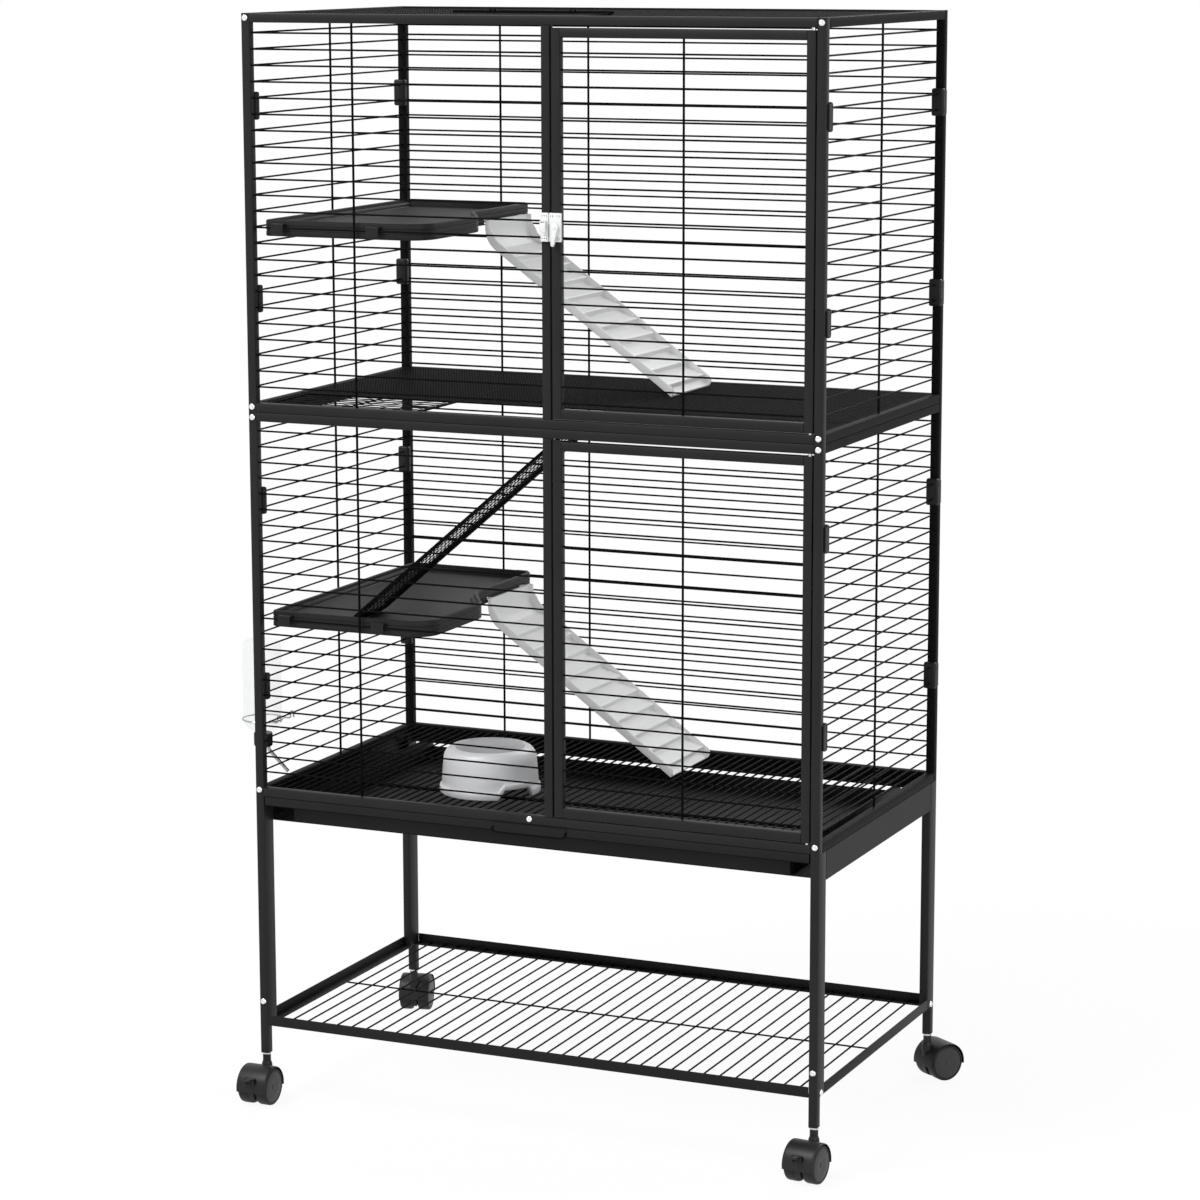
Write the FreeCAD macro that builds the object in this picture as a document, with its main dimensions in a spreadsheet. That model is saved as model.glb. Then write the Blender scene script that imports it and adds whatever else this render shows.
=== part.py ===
import FreeCAD, Part
import math
import os
import re
from FreeCAD import Rotation, Vector

doc = FreeCAD.newDocument("small_animal_cage")
sheet = doc.addObject("Spreadsheet::Sheet", "sizes")

# All sizes in millimetres, angles in degrees.
SIZES = (
    ("frame_width", 800.0),
    ("frame_depth", 450.0),
    ("module_height", 514.5),
    ("stand_height", 421.0),
    ("tube", 12.0),
    ("wire", 2.4),
    ("row_first", 33.0),
    ("row_top", 25.0),
    ("middle_post_x", 29.0),
    ("front_upright_x", -245.0),
    ("rear_upright_one_x", -246.0),
    ("rear_upright_two_x", -113.0),
    ("side_upright_y", -1.0),
    ("door_side_gap", 2.0),
    ("door_hinge_gap", 1.5),
    ("door_top_gap", 3.0),
    ("door_bottom_gap", 1.5),
    ("pin_inset_x", 4.0),
    ("pin_inset_y", 3.0),
    ("pin_radius", 2.5),
    ("pin_depth", 5.0),
    ("running_gap", 0.06),
    ("mesh_skin", 2.0),
    ("floor_level", 12.0),
    ("hatch_left_x", -155.0),
    ("hatch_width", 215.0),
    ("hatch_front_y", 18.0),
    ("hatch_depth", 102.0),
    ("mesh_hole", 17.0),
    ("lid_rod", 2.5),
    ("platform_width", 190.0),
    ("platform_front_width", 232.0),
    ("platform_wall_gap", 8.0),
    ("platform_front_gap", 14.0),
    ("platform_rear_gap", 25.0),
    ("platform_step_y", 175.0),
    ("platform_step_run", 70.0),
    ("platform_height", 21.0),
    ("platform_rim", 5.0),
    ("platform_floor_drop", 10.0),
    ("platform_skin", 3.0),
    ("platform_hook", 8.4),
    ("hook_width", 22.5),
    ("hook_drop", 4.0),
    ("hook_plate", 1.8),
    ("ramp_width", 134.0),
    ("ramp_front_y", 44.0),
    ("ramp_angle", 35.9),
    ("ramp_gap", 4.2),
    ("ramp_drop", 15.0),
    ("ramp_lip", 9.0),
    ("ramp_bend", 36.0),
    ("ramp_skin", 3.0),
    ("ramp_wall", 11.5),
    ("ramp_tooth", 7.0),
    ("ramp_tab", 6.2),
    ("mesh_ramp_angle", 40.5),
    ("mesh_ramp_width", 98.0),
    ("mesh_ramp_rod", 3.0),
    ("leg_depth", 26.0),
    ("shelf_level", 105.0),
    ("shelf_angle", 14.0),
    ("sheet_metal", 1.5),
    ("leg_bottom", 66.0),
    ("tray_drop", 36.0),
    ("tray_side_gap", 45.5),
    ("tray_front_y", 20.0),
    ("tray_rear_gap", 16.0),
    ("tray_wall", 33.0),
    ("tray_band_level", 24.3),
    ("tray_band", 11.2),
    ("lip_height", 14.0),
    ("lip_thickness", 3.0),
    ("runner_flange", 55.0),
    ("lip_width", 106.0),
    ("bolt_radius", 4.2),
    ("bolt_head", 2.6),
    ("wheel_radius", 25.0),
    ("wheel_width", 17.0),
    ("wheel_web", 8.0),
    ("wheel_gap", 0.6),
    ("axle_radius", 3.0),
    ("caster_trail", 20.0),
    ("stem_radius", 4.0),
    ("neck_radius", 5.5),
    ("brake_pin", 1.5),
    ("bowl_base_radius", 69.0),
    ("bowl_flange", 10.0),
    ("bowl_body_radius", 65.0),
    ("bowl_waist_radius", 62.0),
    ("bowl_rim_radius", 54.0),
    ("bowl_shoulder", 8.0),
    ("bowl_height", 50.0),
    ("bowl_base", 14.0),
    ("bowl_x", -107.0),
    ("bowl_y", -114.0),
    ("bottle_radius", 26.3),
    ("bottle_length", 114.0),
    ("bottle_taper", 14.0),
    ("bottle_inset", 74.3),
    ("bottle_level", 68.8),
    ("bottle_gap", 2.5),
    ("cap_radius", 16.0),
    ("cap_height", 18.4),
    ("spout_radius", 3.0),
    ("latch_level", 254.0),
    ("latch_height", 36.0),
    ("latch_plate", 4.0),
    ("lever_reach", 24.0),
    ("latch_pin", 2.5),
)
# Sides of the bores and small round pieces.
PIN_SIDES = 12
WHEEL_SIDES = 20
BOWL_SIDES = 36
BOTTLE_SIDES = 24
ROWS = 23
DOOR_ROWS = 22
FLOOR_WIRES = 59
SHELF_WIRES = 34

NAMES = set()
for row, (name, value) in enumerate(SIZES, 1):
    sheet.set("A%d" % row, name)
    sheet.set("B%d" % row, str(value))
    sheet.setAlias("B%d" % row, name)
    NAMES.add(name)
doc.recompute()

# Shared levels and lines, written in the names above.
LOWER = "(stand_height)"
UPPER = "(stand_height+module_height)"
TOP = "(stand_height+2*module_height)"
LEFT = "(-frame_width/2)"
RIGHT = "(frame_width/2)"
FRONT = "(-frame_depth/2)"
REAR = "(frame_depth/2)"
PITCH = "((module_height-row_first-row_top)/%d)" % (ROWS - 1)
PLATFORM_TOP = "(row_first+10*%s+wire/2+platform_hook)" % PITCH
PLATFORM_EDGE = "(%s+tube+platform_wall_gap+platform_width)" % LEFT
NODES = []


def bind(text):
    def swap(match):
        word = match.group(0)
        return "sizes." + word if word in NAMES else word
    return re.sub(r"[a-z][a-z_]+", swap, str(text))


def size(name):
    return float(sheet.get(name))


def place(item, point):
    for axis, text in zip("xyz", point):
        item.setExpression("Placement.Base." + axis, bind(text))
    return item


def box(extent, corner):
    item = doc.addObject("Part::Box", "block")
    for prop, text in zip(("Length", "Width", "Height"), extent):
        item.setExpression(prop, bind(text))
    return place(item, corner)


TURNS = {
    "z": Rotation(),
    "x": Rotation(Vector(0, 1, 0), 90),
    "y": Rotation(Vector(1, 0, 0), -90),
}


def rod(axis, radius, length, start):
    item = doc.addObject("Part::Cylinder", "rod")
    item.setExpression("Radius", bind(radius))
    item.setExpression("Height", bind(length))
    item.Placement.Rotation = TURNS[axis]
    return place(item, start)


def prism(axis, sides, radius, length, start):
    item = doc.addObject("Part::Prism", "prism")
    item.Polygon = sides
    item.setExpression("Circumradius", bind(radius))
    item.setExpression("Height", bind(length))
    item.Placement.Rotation = TURNS[axis]
    return place(item, start)


def peg(axis, radius, length, start):
    return prism(axis, PIN_SIDES, radius, length, start)


def socket(axis, radius, length, start):
    # A bore for a round pin, with flats that clear the pin by the running gap.
    return prism(axis, PIN_SIDES, "(%s+running_gap)/cos(180/%d)" % (radius, PIN_SIDES), length, start)


def wedge(ends, point):
    item = doc.addObject("Part::Wedge", "wedge")
    for prop, text in ends.items():
        item.setExpression(prop, bind(text))
    return place(item, point)


def sloped(item, axis, high, rise, inset):
    # Slopes the sides of a prism in at one end: rise along the sides, inset across the end face.
    doc.recompute()
    limit = item.Shape.BoundBox
    ends = {"y": (limit.YMin, limit.YMax), "z": (limit.ZMin, limit.ZMax)}
    level = ends[axis][1] if high else ends[axis][0]
    edges = []
    for number, edge in enumerate(item.Shape.Edges, 1):
        if abs(getattr(edge.CenterOfMass, axis) - level) < 0.1:
            edges.append((number, rise, inset))
    taper = doc.addObject("Part::Chamfer", "sloped")
    taper.Base = item
    taper.Edges = edges
    return taper


def wire(axis, length, start):
    extent = ["wire", "wire", "wire"]
    corner = ["%s-wire/2" % text for text in start]
    index = "xyz".index(axis)
    extent[index] = length
    corner[index] = start[index]
    return box(extent, corner)


def fuse(items):
    item = doc.addObject("Part::MultiFuse", "joined")
    item.Shapes = items
    item.Refine = True
    return item


def cut(base, tools):
    item = doc.addObject("Part::Cut", "cut")
    item.Base = base
    item.Tool = tools[0] if len(tools) == 1 else group(tools)
    item.Refine = True
    return item


def group(items):
    item = doc.addObject("Part::Compound", "group")
    item.Links = items
    return item


def node(label, item):
    item.Label = label
    NODES.append(item)
    return item


def rounded(item, picks):
    doc.recompute()
    edges = []
    for number, edge in enumerate(item.Shape.Edges, 1):
        middle = edge.CenterOfMass
        along = edge.tangentAt(edge.FirstParameter)
        for direction, test, radius in picks:
            if abs(along.dot(direction)) > 0.99 and test(middle):
                edges.append((number, radius, radius))
    fillet = doc.addObject("Part::Fillet", "rounded")
    fillet.Base = item
    fillet.Edges = edges
    return fillet


def row_level(base, index):
    return "%s+row_first+%d*%s" % (base, index, PITCH)


def front_grille(base, start_x, length, upright_x, plane_y, rows, low, high):
    wires = []
    for index in range(rows):
        wires.append(wire("x", length, (start_x, plane_y, row_level(base, index))))
    for x in upright_x:
        wires.append(wire("z", "(%s)-(%s)" % (high, low), (x, plane_y + "+wire", low)))
    return wires


def side_grille(base, plane_x, inward):
    wires = []
    length = "frame_depth-2*tube"
    for index in range(ROWS):
        start = (plane_x, FRONT + "+tube", row_level(base, index))
        wires.append(wire("y", length, start))
    start = (plane_x + inward + "wire", "side_upright_y", base + "+tube")
    wires.append(wire("z", "module_height-2*tube", start))
    return wires


def rail_x(start_x, length, y, z):
    return box((length, "tube", "tube"), (start_x, y, z))


def post(x, y, z, height):
    return box(("tube", "tube", height), (x, y, z))


HINGE_X = "(%s-tube-door_hinge_gap-pin_inset_x)" % RIGHT
HINGE_Y = "(%s+pin_inset_y)" % FRONT


def front_panel(label, base):
    span = "frame_width-2*tube"
    top_rail = rail_x(LEFT + "+tube", span, FRONT, base + "+module_height-tube")
    bottom_rail = rail_x(LEFT + "+tube", span, FRONT, base)
    depth = "pin_depth+2"
    top_hole = socket("z", "pin_radius", depth, (HINGE_X, HINGE_Y, base + "+module_height-tube-1"))
    low_hole = socket("z", "pin_radius", depth, (HINGE_X, HINGE_Y, base + "+tube-pin_depth-1"))
    grille = front_grille(
        base, LEFT + "+tube", "middle_post_x-tube/2-%s-tube" % LEFT, ["front_upright_x"],
        FRONT + "+tube/2", ROWS, base + "+tube", base + "+module_height-tube")
    return node(label, group([
        post(LEFT, FRONT, base, "module_height"),
        post(RIGHT + "-tube", FRONT, base, "module_height"),
        post("middle_post_x-tube/2", FRONT, base + "+tube", "module_height-2*tube"),
        cut(top_rail, [top_hole]),
        cut(bottom_rail, [low_hole]),
    ] + grille))


def rear_panel(label, base):
    span = "frame_width-2*tube"
    y = REAR + "-tube"
    grille = front_grille(
        base, LEFT + "+tube", span, ["rear_upright_one_x", "rear_upright_two_x"],
        REAR + "-tube/2", ROWS, base + "+tube", base + "+module_height-tube")
    return node(label, group([
        post(LEFT, y, base, "module_height"),
        post(RIGHT + "-tube", y, base, "module_height"),
        rail_x(LEFT + "+tube", span, y, base + "+module_height-tube"),
        rail_x(LEFT + "+tube", span, y, base),
    ] + grille))


def side_panel(label, base, x, plane_x, inward):
    extent = ("tube", "frame_depth-2*tube", "tube")
    return node(label, group([
        box(extent, (x, FRONT + "+tube", base + "+module_height-tube")),
        box(extent, (x, FRONT + "+tube", base)),
    ] + side_grille(base, plane_x, inward)))


DOOR_LEFT = "(middle_post_x+tube/2+door_side_gap)"
DOOR_WIDTH = "(%s-tube-door_hinge_gap-%s)" % (RIGHT, DOOR_LEFT)
DOOR_HEIGHT = "(module_height-2*tube-door_top_gap-door_bottom_gap)"


def door(label, pin_label, base):
    low = base + "+tube+door_bottom_gap"
    inner = DOOR_WIDTH + "-2*tube"
    grille = front_grille(
        base, DOOR_LEFT + "+tube", inner, [DOOR_LEFT + "+" + DOOR_WIDTH + "/2"],
        FRONT + "+tube/2", DOOR_ROWS, low + "+tube", low + "+" + DOOR_HEIGHT + "-tube")
    node(label, group([
        post(DOOR_LEFT, FRONT, low, DOOR_HEIGHT),
        post(DOOR_LEFT + "+" + DOOR_WIDTH + "-tube", FRONT, low, DOOR_HEIGHT),
        rail_x(DOOR_LEFT + "+tube", inner, FRONT, low + "+" + DOOR_HEIGHT + "-tube"),
        rail_x(DOOR_LEFT + "+tube", inner, FRONT, low),
    ] + grille))
    high = low + "+" + DOOR_HEIGHT
    node(pin_label, group([
        rod("z", "pin_radius", "door_top_gap+pin_depth", (HINGE_X, HINGE_Y, high)),
        rod("z", "pin_radius", "door_bottom_gap+pin_depth",
            (HINGE_X, HINGE_Y, base + "+tube-pin_depth")),
    ]))


HATCH_REAR = "(%s+hatch_front_y+hatch_depth)" % FRONT


def mesh_plate(label, level):
    plate = box(("frame_width-2*tube", "frame_depth-2*tube", "mesh_skin"),
                (LEFT + "+tube", FRONT + "+tube", level + "-mesh_skin"))
    tools = [box(("hatch_width", "hatch_depth", "3*mesh_skin"),
                 ("hatch_left_x", FRONT + "+hatch_front_y", level + "-2*mesh_skin"))]
    columns = 9
    lines = 4
    for line in range(lines):
        for column in range(columns):
            if line == 0 and 2 <= column <= 5:
                continue
            x = "%s+tube+(frame_width-2*tube)*%s/%d" % (LEFT, column + 0.5, columns)
            y = "%s+hatch_front_y+hatch_depth/2" % FRONT
            if line > 0:
                y = "%s+%s*(%s-tube-%s)/%d" % (HATCH_REAR, line - 0.5, REAR, HATCH_REAR, lines - 1)
            tools.append(prism("z", 4, "mesh_hole", "3*mesh_skin", (x, y, level + "-2*mesh_skin")))
    return node(label, cut(plate, tools))


def floor_grid(label, base):
    level = base + "+floor_level-wire/2"
    wires = []
    for index in range(FLOOR_WIRES):
        x = "%s+tube+(frame_width-2*tube)*%s/%d" % (LEFT, index + 0.9, FLOOR_WIRES + 0.8)
        wires.append(wire("y", "frame_depth-2*tube", (x, FRONT + "+tube", level)))
    for share in (-0.3, 0.3):
        start = (LEFT + "+tube", "%s*frame_depth" % share, level + "-wire")
        wires.append(wire("x", "frame_width-2*tube", start))
    return node(label, group(wires))


def panel_clips(label, base):
    clips = []
    for side_x, out_x, in_x in ((LEFT, LEFT + "-2.5", LEFT + "+tube"),
                                (RIGHT + "-tube", RIGHT, RIGHT + "-tube-2.5")):
        for bridge_y, out_y, in_y in ((FRONT + "+tube", FRONT + "+tube-6", FRONT + "+tube+0.5"),
                                      (REAR + "-tube-7", REAR + "-tube-9", REAR + "-tube-9")):
            for index in (5, 17):
                middle = "%s+row_first+%s*%s" % (base, index + 0.5, PITCH)
                bridge = box(("tube", "7", "0.6*%s" % PITCH),
                             (side_x, bridge_y, middle + "-0.3*%s" % PITCH))
                outer = box(("2.5", "15", "34"), (out_x, out_y, middle + "-17"))
                inner = box(("2.5", "8.5", "34"), (in_x, in_y, middle + "-17"))
                clips.append(fuse([bridge, outer, inner]))
    return node(label, group(clips))


def bolts(label, axis, spots):
    heads = []
    for spot in spots:
        heads.append(prism(axis, 8, "bolt_radius", "bolt_head", spot))
    return node(label, group(heads))


def platform_form(inset, low, height):
    left = "%s+tube+platform_wall_gap+%s" % (LEFT, inset)
    front = "%s+platform_front_gap+%s" % (FRONT, inset)
    step = "%s+platform_step_y" % FRONT
    wide = "platform_front_width-2*%s" % inset
    slim = "platform_width-2*%s" % inset
    depth = "frame_depth-platform_front_gap-platform_rear_gap-2*%s" % inset
    item = fuse([
        box((slim, depth, height), (left, front, low)),
        box((wide, "platform_step_y-platform_front_gap-%s" % inset, height), (left, front, low)),
        wedge({
            "Xmin": "0", "X2min": "0", "Ymin": "0", "Zmin": "0", "Z2min": "0",
            "Xmax": wide, "X2max": slim, "Ymax": "platform_step_run", "Zmax": height, "Z2max": height,
        }, (left, step, low)),
    ])
    doc.recompute()
    limit = item.Shape.BoundBox
    gap = size("platform_rim") if inset != "0" else 0.0
    edge = limit.XMin + size("platform_width") - 2 * gap
    step_y = size("platform_step_y") - size("frame_depth") / 2
    run_y = step_y + size("platform_step_run")
    corners = [
        (limit.XMax, limit.YMin, 35.0 - gap), (limit.XMax, step_y, 45.0 - gap),
        (edge, run_y, 45.0 + gap), (edge, limit.YMax, 13.0 - gap),
    ]
    if not gap:
        corners += [(limit.XMin, limit.YMin, 9.0), (limit.XMin, limit.YMax, 9.0)]

    def at(x, y):
        return lambda point: abs(point.x - x) < 0.5 and abs(point.y - y) < 0.5

    upright = Vector(0, 0, 1)
    return rounded(item, [(upright, at(x, y), radius) for x, y, radius in corners])


def platform(label, clip_label, base):
    top = base + "+" + PLATFORM_TOP
    floor = top + "-platform_floor_drop"
    outside = platform_form("0", top + "-platform_height", "platform_height")
    tools = [
        platform_form("platform_rim", floor, "platform_height"),
        platform_form("platform_rim", floor + "-platform_skin-platform_height", "platform_height"),
    ]
    for offset in ("8", "ramp_width-22"):
        tools.append(box(("platform_rim+2", "14", "7.5"),
                         (PLATFORM_EDGE + "-platform_rim-1", "ramp_front_y+" + offset,
                          top + "-platform_height+1")))
    node(label, cut(outside, tools))
    clips = []
    level = row_level(base, 10) + "+wire/2"
    tall = "platform_hook-hook_drop"
    drop = "platform_height-hook_plate"
    for share in (0.06, 0.655):
        x = "%s+tube+platform_wall_gap+%s*platform_front_width" % (LEFT, share)
        for bridge_y, reach, plate_y in (
            (FRONT + "+tube/2-wire/2", "platform_front_gap", FRONT + "+tube/2-wire/2-hook_plate"),
            (REAR + "-platform_rear_gap", "platform_rear_gap", REAR + "-tube/2+wire/2"),
        ):
            bridge = box(("hook_width", reach + "-tube/2+wire/2", tall), (x, bridge_y, level))
            plate = box(("hook_width", "hook_plate", drop), (x, plate_y, level + "+%s-(%s)" % (tall, drop)))
            clips.append(fuse([bridge, plate]))
    node(clip_label, group(clips))


RAMP_AXIS_X = "(%s+ramp_gap)" % PLATFORM_EDGE
RAMP_AXIS_Z = "(%s-ramp_drop)" % PLATFORM_TOP
# Where the bend under the hook line runs into the straight slope.
BEND_X = "(ramp_bend*(1-sin(ramp_angle)))"
BEND_Z = "(ramp_lip+ramp_bend*cos(ramp_angle))"
RAMP_LENGTH = "((%s-floor_level-%s)/sin(ramp_angle))" % (RAMP_AXIS_Z, BEND_Z)
RAMP_SIDE = "ramp_skin"


def ramp(label, base):
    width = "ramp_width"
    inner = "ramp_width-2*%s" % RAMP_SIDE
    pieces = [box((RAMP_LENGTH, width, "ramp_skin"), ("0", "0", "0"))]
    across = Vector(0, 1, 0)
    for y in ("0", "ramp_width-" + RAMP_SIDE):
        wall = box((RAMP_LENGTH, RAMP_SIDE, "ramp_wall"), ("0", y, "0"))
        doc.recompute()
        limit = wall.Shape.BoundBox
        foot = [(across, lambda point: point.x > limit.XMax - 1 and point.z > limit.ZMax - 1, 8.0)]
        pieces.append(rounded(wall, foot))
    teeth = 10
    for index in range(teeth):
        pitch = "(%s-10)/%d" % (RAMP_LENGTH, teeth)
        tooth = wedge({
            "Xmin": "0", "Ymin": "0", "Zmin": "0", "Z2min": "0", "X2min": "0.82*" + pitch,
            "Xmax": "0.92*" + pitch, "X2max": "0.9*" + pitch, "Ymax": "ramp_tooth",
            "Zmax": inner, "Z2max": inner,
        }, ("%d*%s" % (index, pitch), "ramp_width-" + RAMP_SIDE, "ramp_skin"))
        tooth.Placement.Rotation = Rotation(Vector(1, 0, 0), 90)
        pieces.append(tooth)
    ring = cut(rod("y", "ramp_bend", width, ("0", "0", "ramp_bend")), [
        rod("y", "ramp_bend-ramp_wall", "ramp_width+2", ("0", "-1", "ramp_bend")),
        rod("y", "ramp_bend-ramp_skin", inner, ("0", RAMP_SIDE, "ramp_bend")),
        box(("2*ramp_bend", "ramp_width+2", "4*ramp_bend"), ("0", "-1", "-ramp_bend")),
    ])
    slope = fuse(pieces + [ring])
    slope.Placement.Rotation = Rotation(Vector(0, 1, 0), 1)
    slope.setExpression("Placement.Rotation.Angle", bind("ramp_angle"))
    place(slope, (BEND_X, "0", "-" + BEND_Z))
    above = box(("3*ramp_bend", "ramp_width+2", "2*ramp_bend"), ("-ramp_bend", "-1", "-ramp_lip"))
    tall = "ramp_lip+1"
    body = [cut(slope, [above]), box(("ramp_skin", width, tall), ("0", "0", "-ramp_lip"))]
    for y in ("0", "ramp_width-" + RAMP_SIDE):
        body.append(box(("0.6*ramp_wall", RAMP_SIDE, tall), ("0", y, "-ramp_lip")))
    for y in ("10", "ramp_width-20"):
        body.append(box(("ramp_tab+1", "10", "2"), ("-ramp_tab", y, "-1")))
    item = fuse(body)
    place(item, (RAMP_AXIS_X, "ramp_front_y", base + "+" + RAMP_AXIS_Z))
    node(label, item)


MESH_AXIS_X = "(hatch_left_x+hatch_width-4)"
MESH_AXIS_Z = "(%s+4)" % UPPER
MESH_DROP = "(module_height+4-%s+platform_floor_drop)" % PLATFORM_TOP
MESH_LENGTH = "((%s-mesh_skin*cos(mesh_ramp_angle))/sin(mesh_ramp_angle))" % MESH_DROP
MESH_FRONT_Y = "(%s+hatch_front_y+2)" % FRONT


def mesh_ramp(label, eye_label):
    plate = box((MESH_LENGTH, "mesh_ramp_width", "mesh_skin"), ("0", "0", "0"))
    holes = []
    columns = 10
    for column in range(columns):
        for line in range(2):
            x = "%s*(%s+1.1)/%d" % (MESH_LENGTH, column, columns + 1)
            y = "mesh_ramp_width*(%s+0.6)/2.2" % line
            reach = "0.42*%s/%d" % (MESH_LENGTH, columns + 1)
            holes.append(prism("z", 4, reach, "3*mesh_skin", (x, y, "-mesh_skin")))
    pieces = [
        cut(plate, holes),
        box((MESH_LENGTH + "-8", "3", "8"), ("8", "0", "-6")),
        box((MESH_LENGTH + "-8", "3", "8"), ("8", "mesh_ramp_width-3", "-6")),
        rod("y", "mesh_ramp_rod", "mesh_ramp_width", ("0", "0", "0")),
    ]
    for offset in ("8", "mesh_ramp_width-20"):
        pieces[0] = cut(pieces[0], [box(("16", "12", "20"), ("-8", offset, "-10"))])
    body = fuse(pieces)
    body.Placement.Rotation = Rotation(Vector(0, 1, 0), 1)
    body.setExpression("Placement.Rotation.Angle", bind("180-mesh_ramp_angle"))
    place(body, (MESH_AXIS_X, MESH_FRONT_Y, MESH_AXIS_Z))
    node(label, body)
    eyes = []
    for offset in ("9.5", "mesh_ramp_width-18.5"):
        y = "%s+%s" % (MESH_FRONT_Y, offset)
        block = box(("14", "9", "11"), (MESH_AXIS_X + "-5", y, UPPER + "+floor_level-mesh_skin-11"))
        bore = socket("y", "mesh_ramp_rod", "11", (MESH_AXIS_X, y + "-1", MESH_AXIS_Z))
        eyes.append(cut(block, [bore]))
    node(eye_label, group(eyes))


LID_AXIS_Y = "(%s+hatch_front_y+hatch_depth+9)" % FRONT
LID_SEAT = "(%s-2)" % TOP
LID_AXIS_Z = "(%s+3)" % LID_SEAT


def top_hatch(label, eye_label):
    left = "(hatch_left_x-5)"
    width = "(hatch_width+10)"
    plate = box((width, "hatch_depth+4", "mesh_skin"), (left, FRONT + "+hatch_front_y-2", LID_SEAT))
    holes = []
    for column in range(5):
        for line in range(2):
            x = "%s+%s*%s/5" % (left, width, column + 0.5)
            y = "%s+hatch_front_y+hatch_depth*%s/2" % (FRONT, line + 0.5)
            holes.append(prism("z", 4, "mesh_hole", "3*mesh_skin", (x, y, LID_SEAT + "-mesh_skin")))
    start_y = FRONT + "+hatch_front_y+hatch_depth-4"
    pieces = [cut(plate, holes), rod("x", "lid_rod", width, (left, LID_AXIS_Y, LID_AXIS_Z))]
    for share in (0.02, 0.45, 0.92):
        pieces.append(box(("12", "13", "mesh_skin"), (left + "+%s*%s" % (share, width), start_y, LID_SEAT)))
    node(label, fuse(pieces))
    eyes = []
    for share in (0.25, 0.75):
        x = left + "+%s*%s-5" % (share, width)
        block = box(("10", "10", "7"), (x, LID_AXIS_Y + "-5", LID_SEAT))
        bore = socket("x", "lid_rod", "12", (x + "-1", LID_AXIS_Y, LID_AXIS_Z))
        eyes.append(cut(block, [bore]))
    node(eye_label, group(eyes))


def latch(keeper_label, base_label, lever_label):
    middle = UPPER + "+latch_level"
    low = middle + "-latch_height/2"
    face = FRONT + "-latch_plate"
    keeper = fuse([
        box(("tube-1", "latch_plate", "latch_height"), ("middle_post_x-tube/2+0.5", face, low)),
        box(("8", "7", "4"), ("middle_post_x-4", FRONT + "-latch_plate-6", middle + "+4.2")),
        box(("8", "1.5", "13"), ("middle_post_x-4", FRONT + "-latch_plate-6", middle + "-6")),
    ])
    node(keeper_label, keeper)
    pivot_x = DOOR_LEFT + "+7"
    node(base_label, fuse([
        box(("15", "latch_plate", "latch_height"), (DOOR_LEFT, face, low)),
        rod("y", "latch_pin", "9", (pivot_x, FRONT + "-latch_plate-5", middle)),
    ]))
    arm = fuse([
        prism("y", 16, "5.5", "4", (pivot_x, FRONT + "-latch_plate-4.3", middle)),
        box(("6", "4", "lever_reach"), (pivot_x + "-3", FRONT + "-latch_plate-4.3", middle + "-lever_reach")),
    ])
    bore = socket("y", "latch_pin", "8", (pivot_x, FRONT + "-latch_plate-6", middle))
    node(lever_label, cut(arm, [bore]))


TRAY_BOTTOM = "(stand_height-tray_drop)"


def tray(label, screw_label, runner_label):
    left = "(%s+tray_side_gap)" % LEFT
    width = "(frame_width-2*tray_side_gap)"
    front = "(%s+tray_front_y)" % FRONT
    depth = "(frame_depth-tray_front_y-tray_rear_gap)"
    metal = "sheet_metal"
    low = TRAY_BOTTOM + "+sheet_metal"
    height = "tray_wall-sheet_metal"
    band = TRAY_BOTTOM + "+tray_band_level"
    inset = "(%s+tube+1.5)" % LEFT
    span = "(frame_width-2*tube-3)"
    lip = box(("lip_width", "lip_thickness", "lip_height"),
              ("1-lip_width/2", FRONT + "-lip_thickness", band + "-lip_thickness"))
    limits = Vector(0, 1, 0)

    def under_edge(point):
        return point.z < lip.Shape.BoundBox.Center.z

    node(label, group([
        box((width, depth, metal), (left, front, TRAY_BOTTOM)),
        box((width, metal, height), (left, front, low)),
        box((width, metal, height), (left, front + "+" + depth + "-sheet_metal", low)),
        box((metal, depth + "-2*sheet_metal", height), (left, front + "+sheet_metal", low)),
        box((metal, depth + "-2*sheet_metal", height),
            (left + "+" + width + "-sheet_metal", front + "+sheet_metal", low)),
        box((span, metal, "tray_band"), (inset, FRONT, band)),
        box((width, "tray_front_y-sheet_metal", metal), (left, FRONT + "+sheet_metal", band)),
        rounded(lip, [(limits, under_edge, 2.5)]),
    ]))
    node(screw_label, prism("y", 8, "bolt_radius", "bolt_head",
                            ("2", FRONT + "-bolt_head", "stand_height+0.62*tube")))
    runners = []
    y = FRONT + "+leg_depth"
    length = "frame_depth-2*leg_depth"
    for x, flange_x in ((LEFT, LEFT + "+sheet_metal"),
                        (RIGHT + "-sheet_metal", RIGHT + "-runner_flange")):
        runners.append(box((metal, length, "tray_drop+sheet_metal"),
                           (x, y, TRAY_BOTTOM + "-sheet_metal")))
        runners.append(box(("runner_flange-sheet_metal", length, metal),
                           (flange_x, y, TRAY_BOTTOM + "-sheet_metal")))
    node(runner_label, group(runners))


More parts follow.
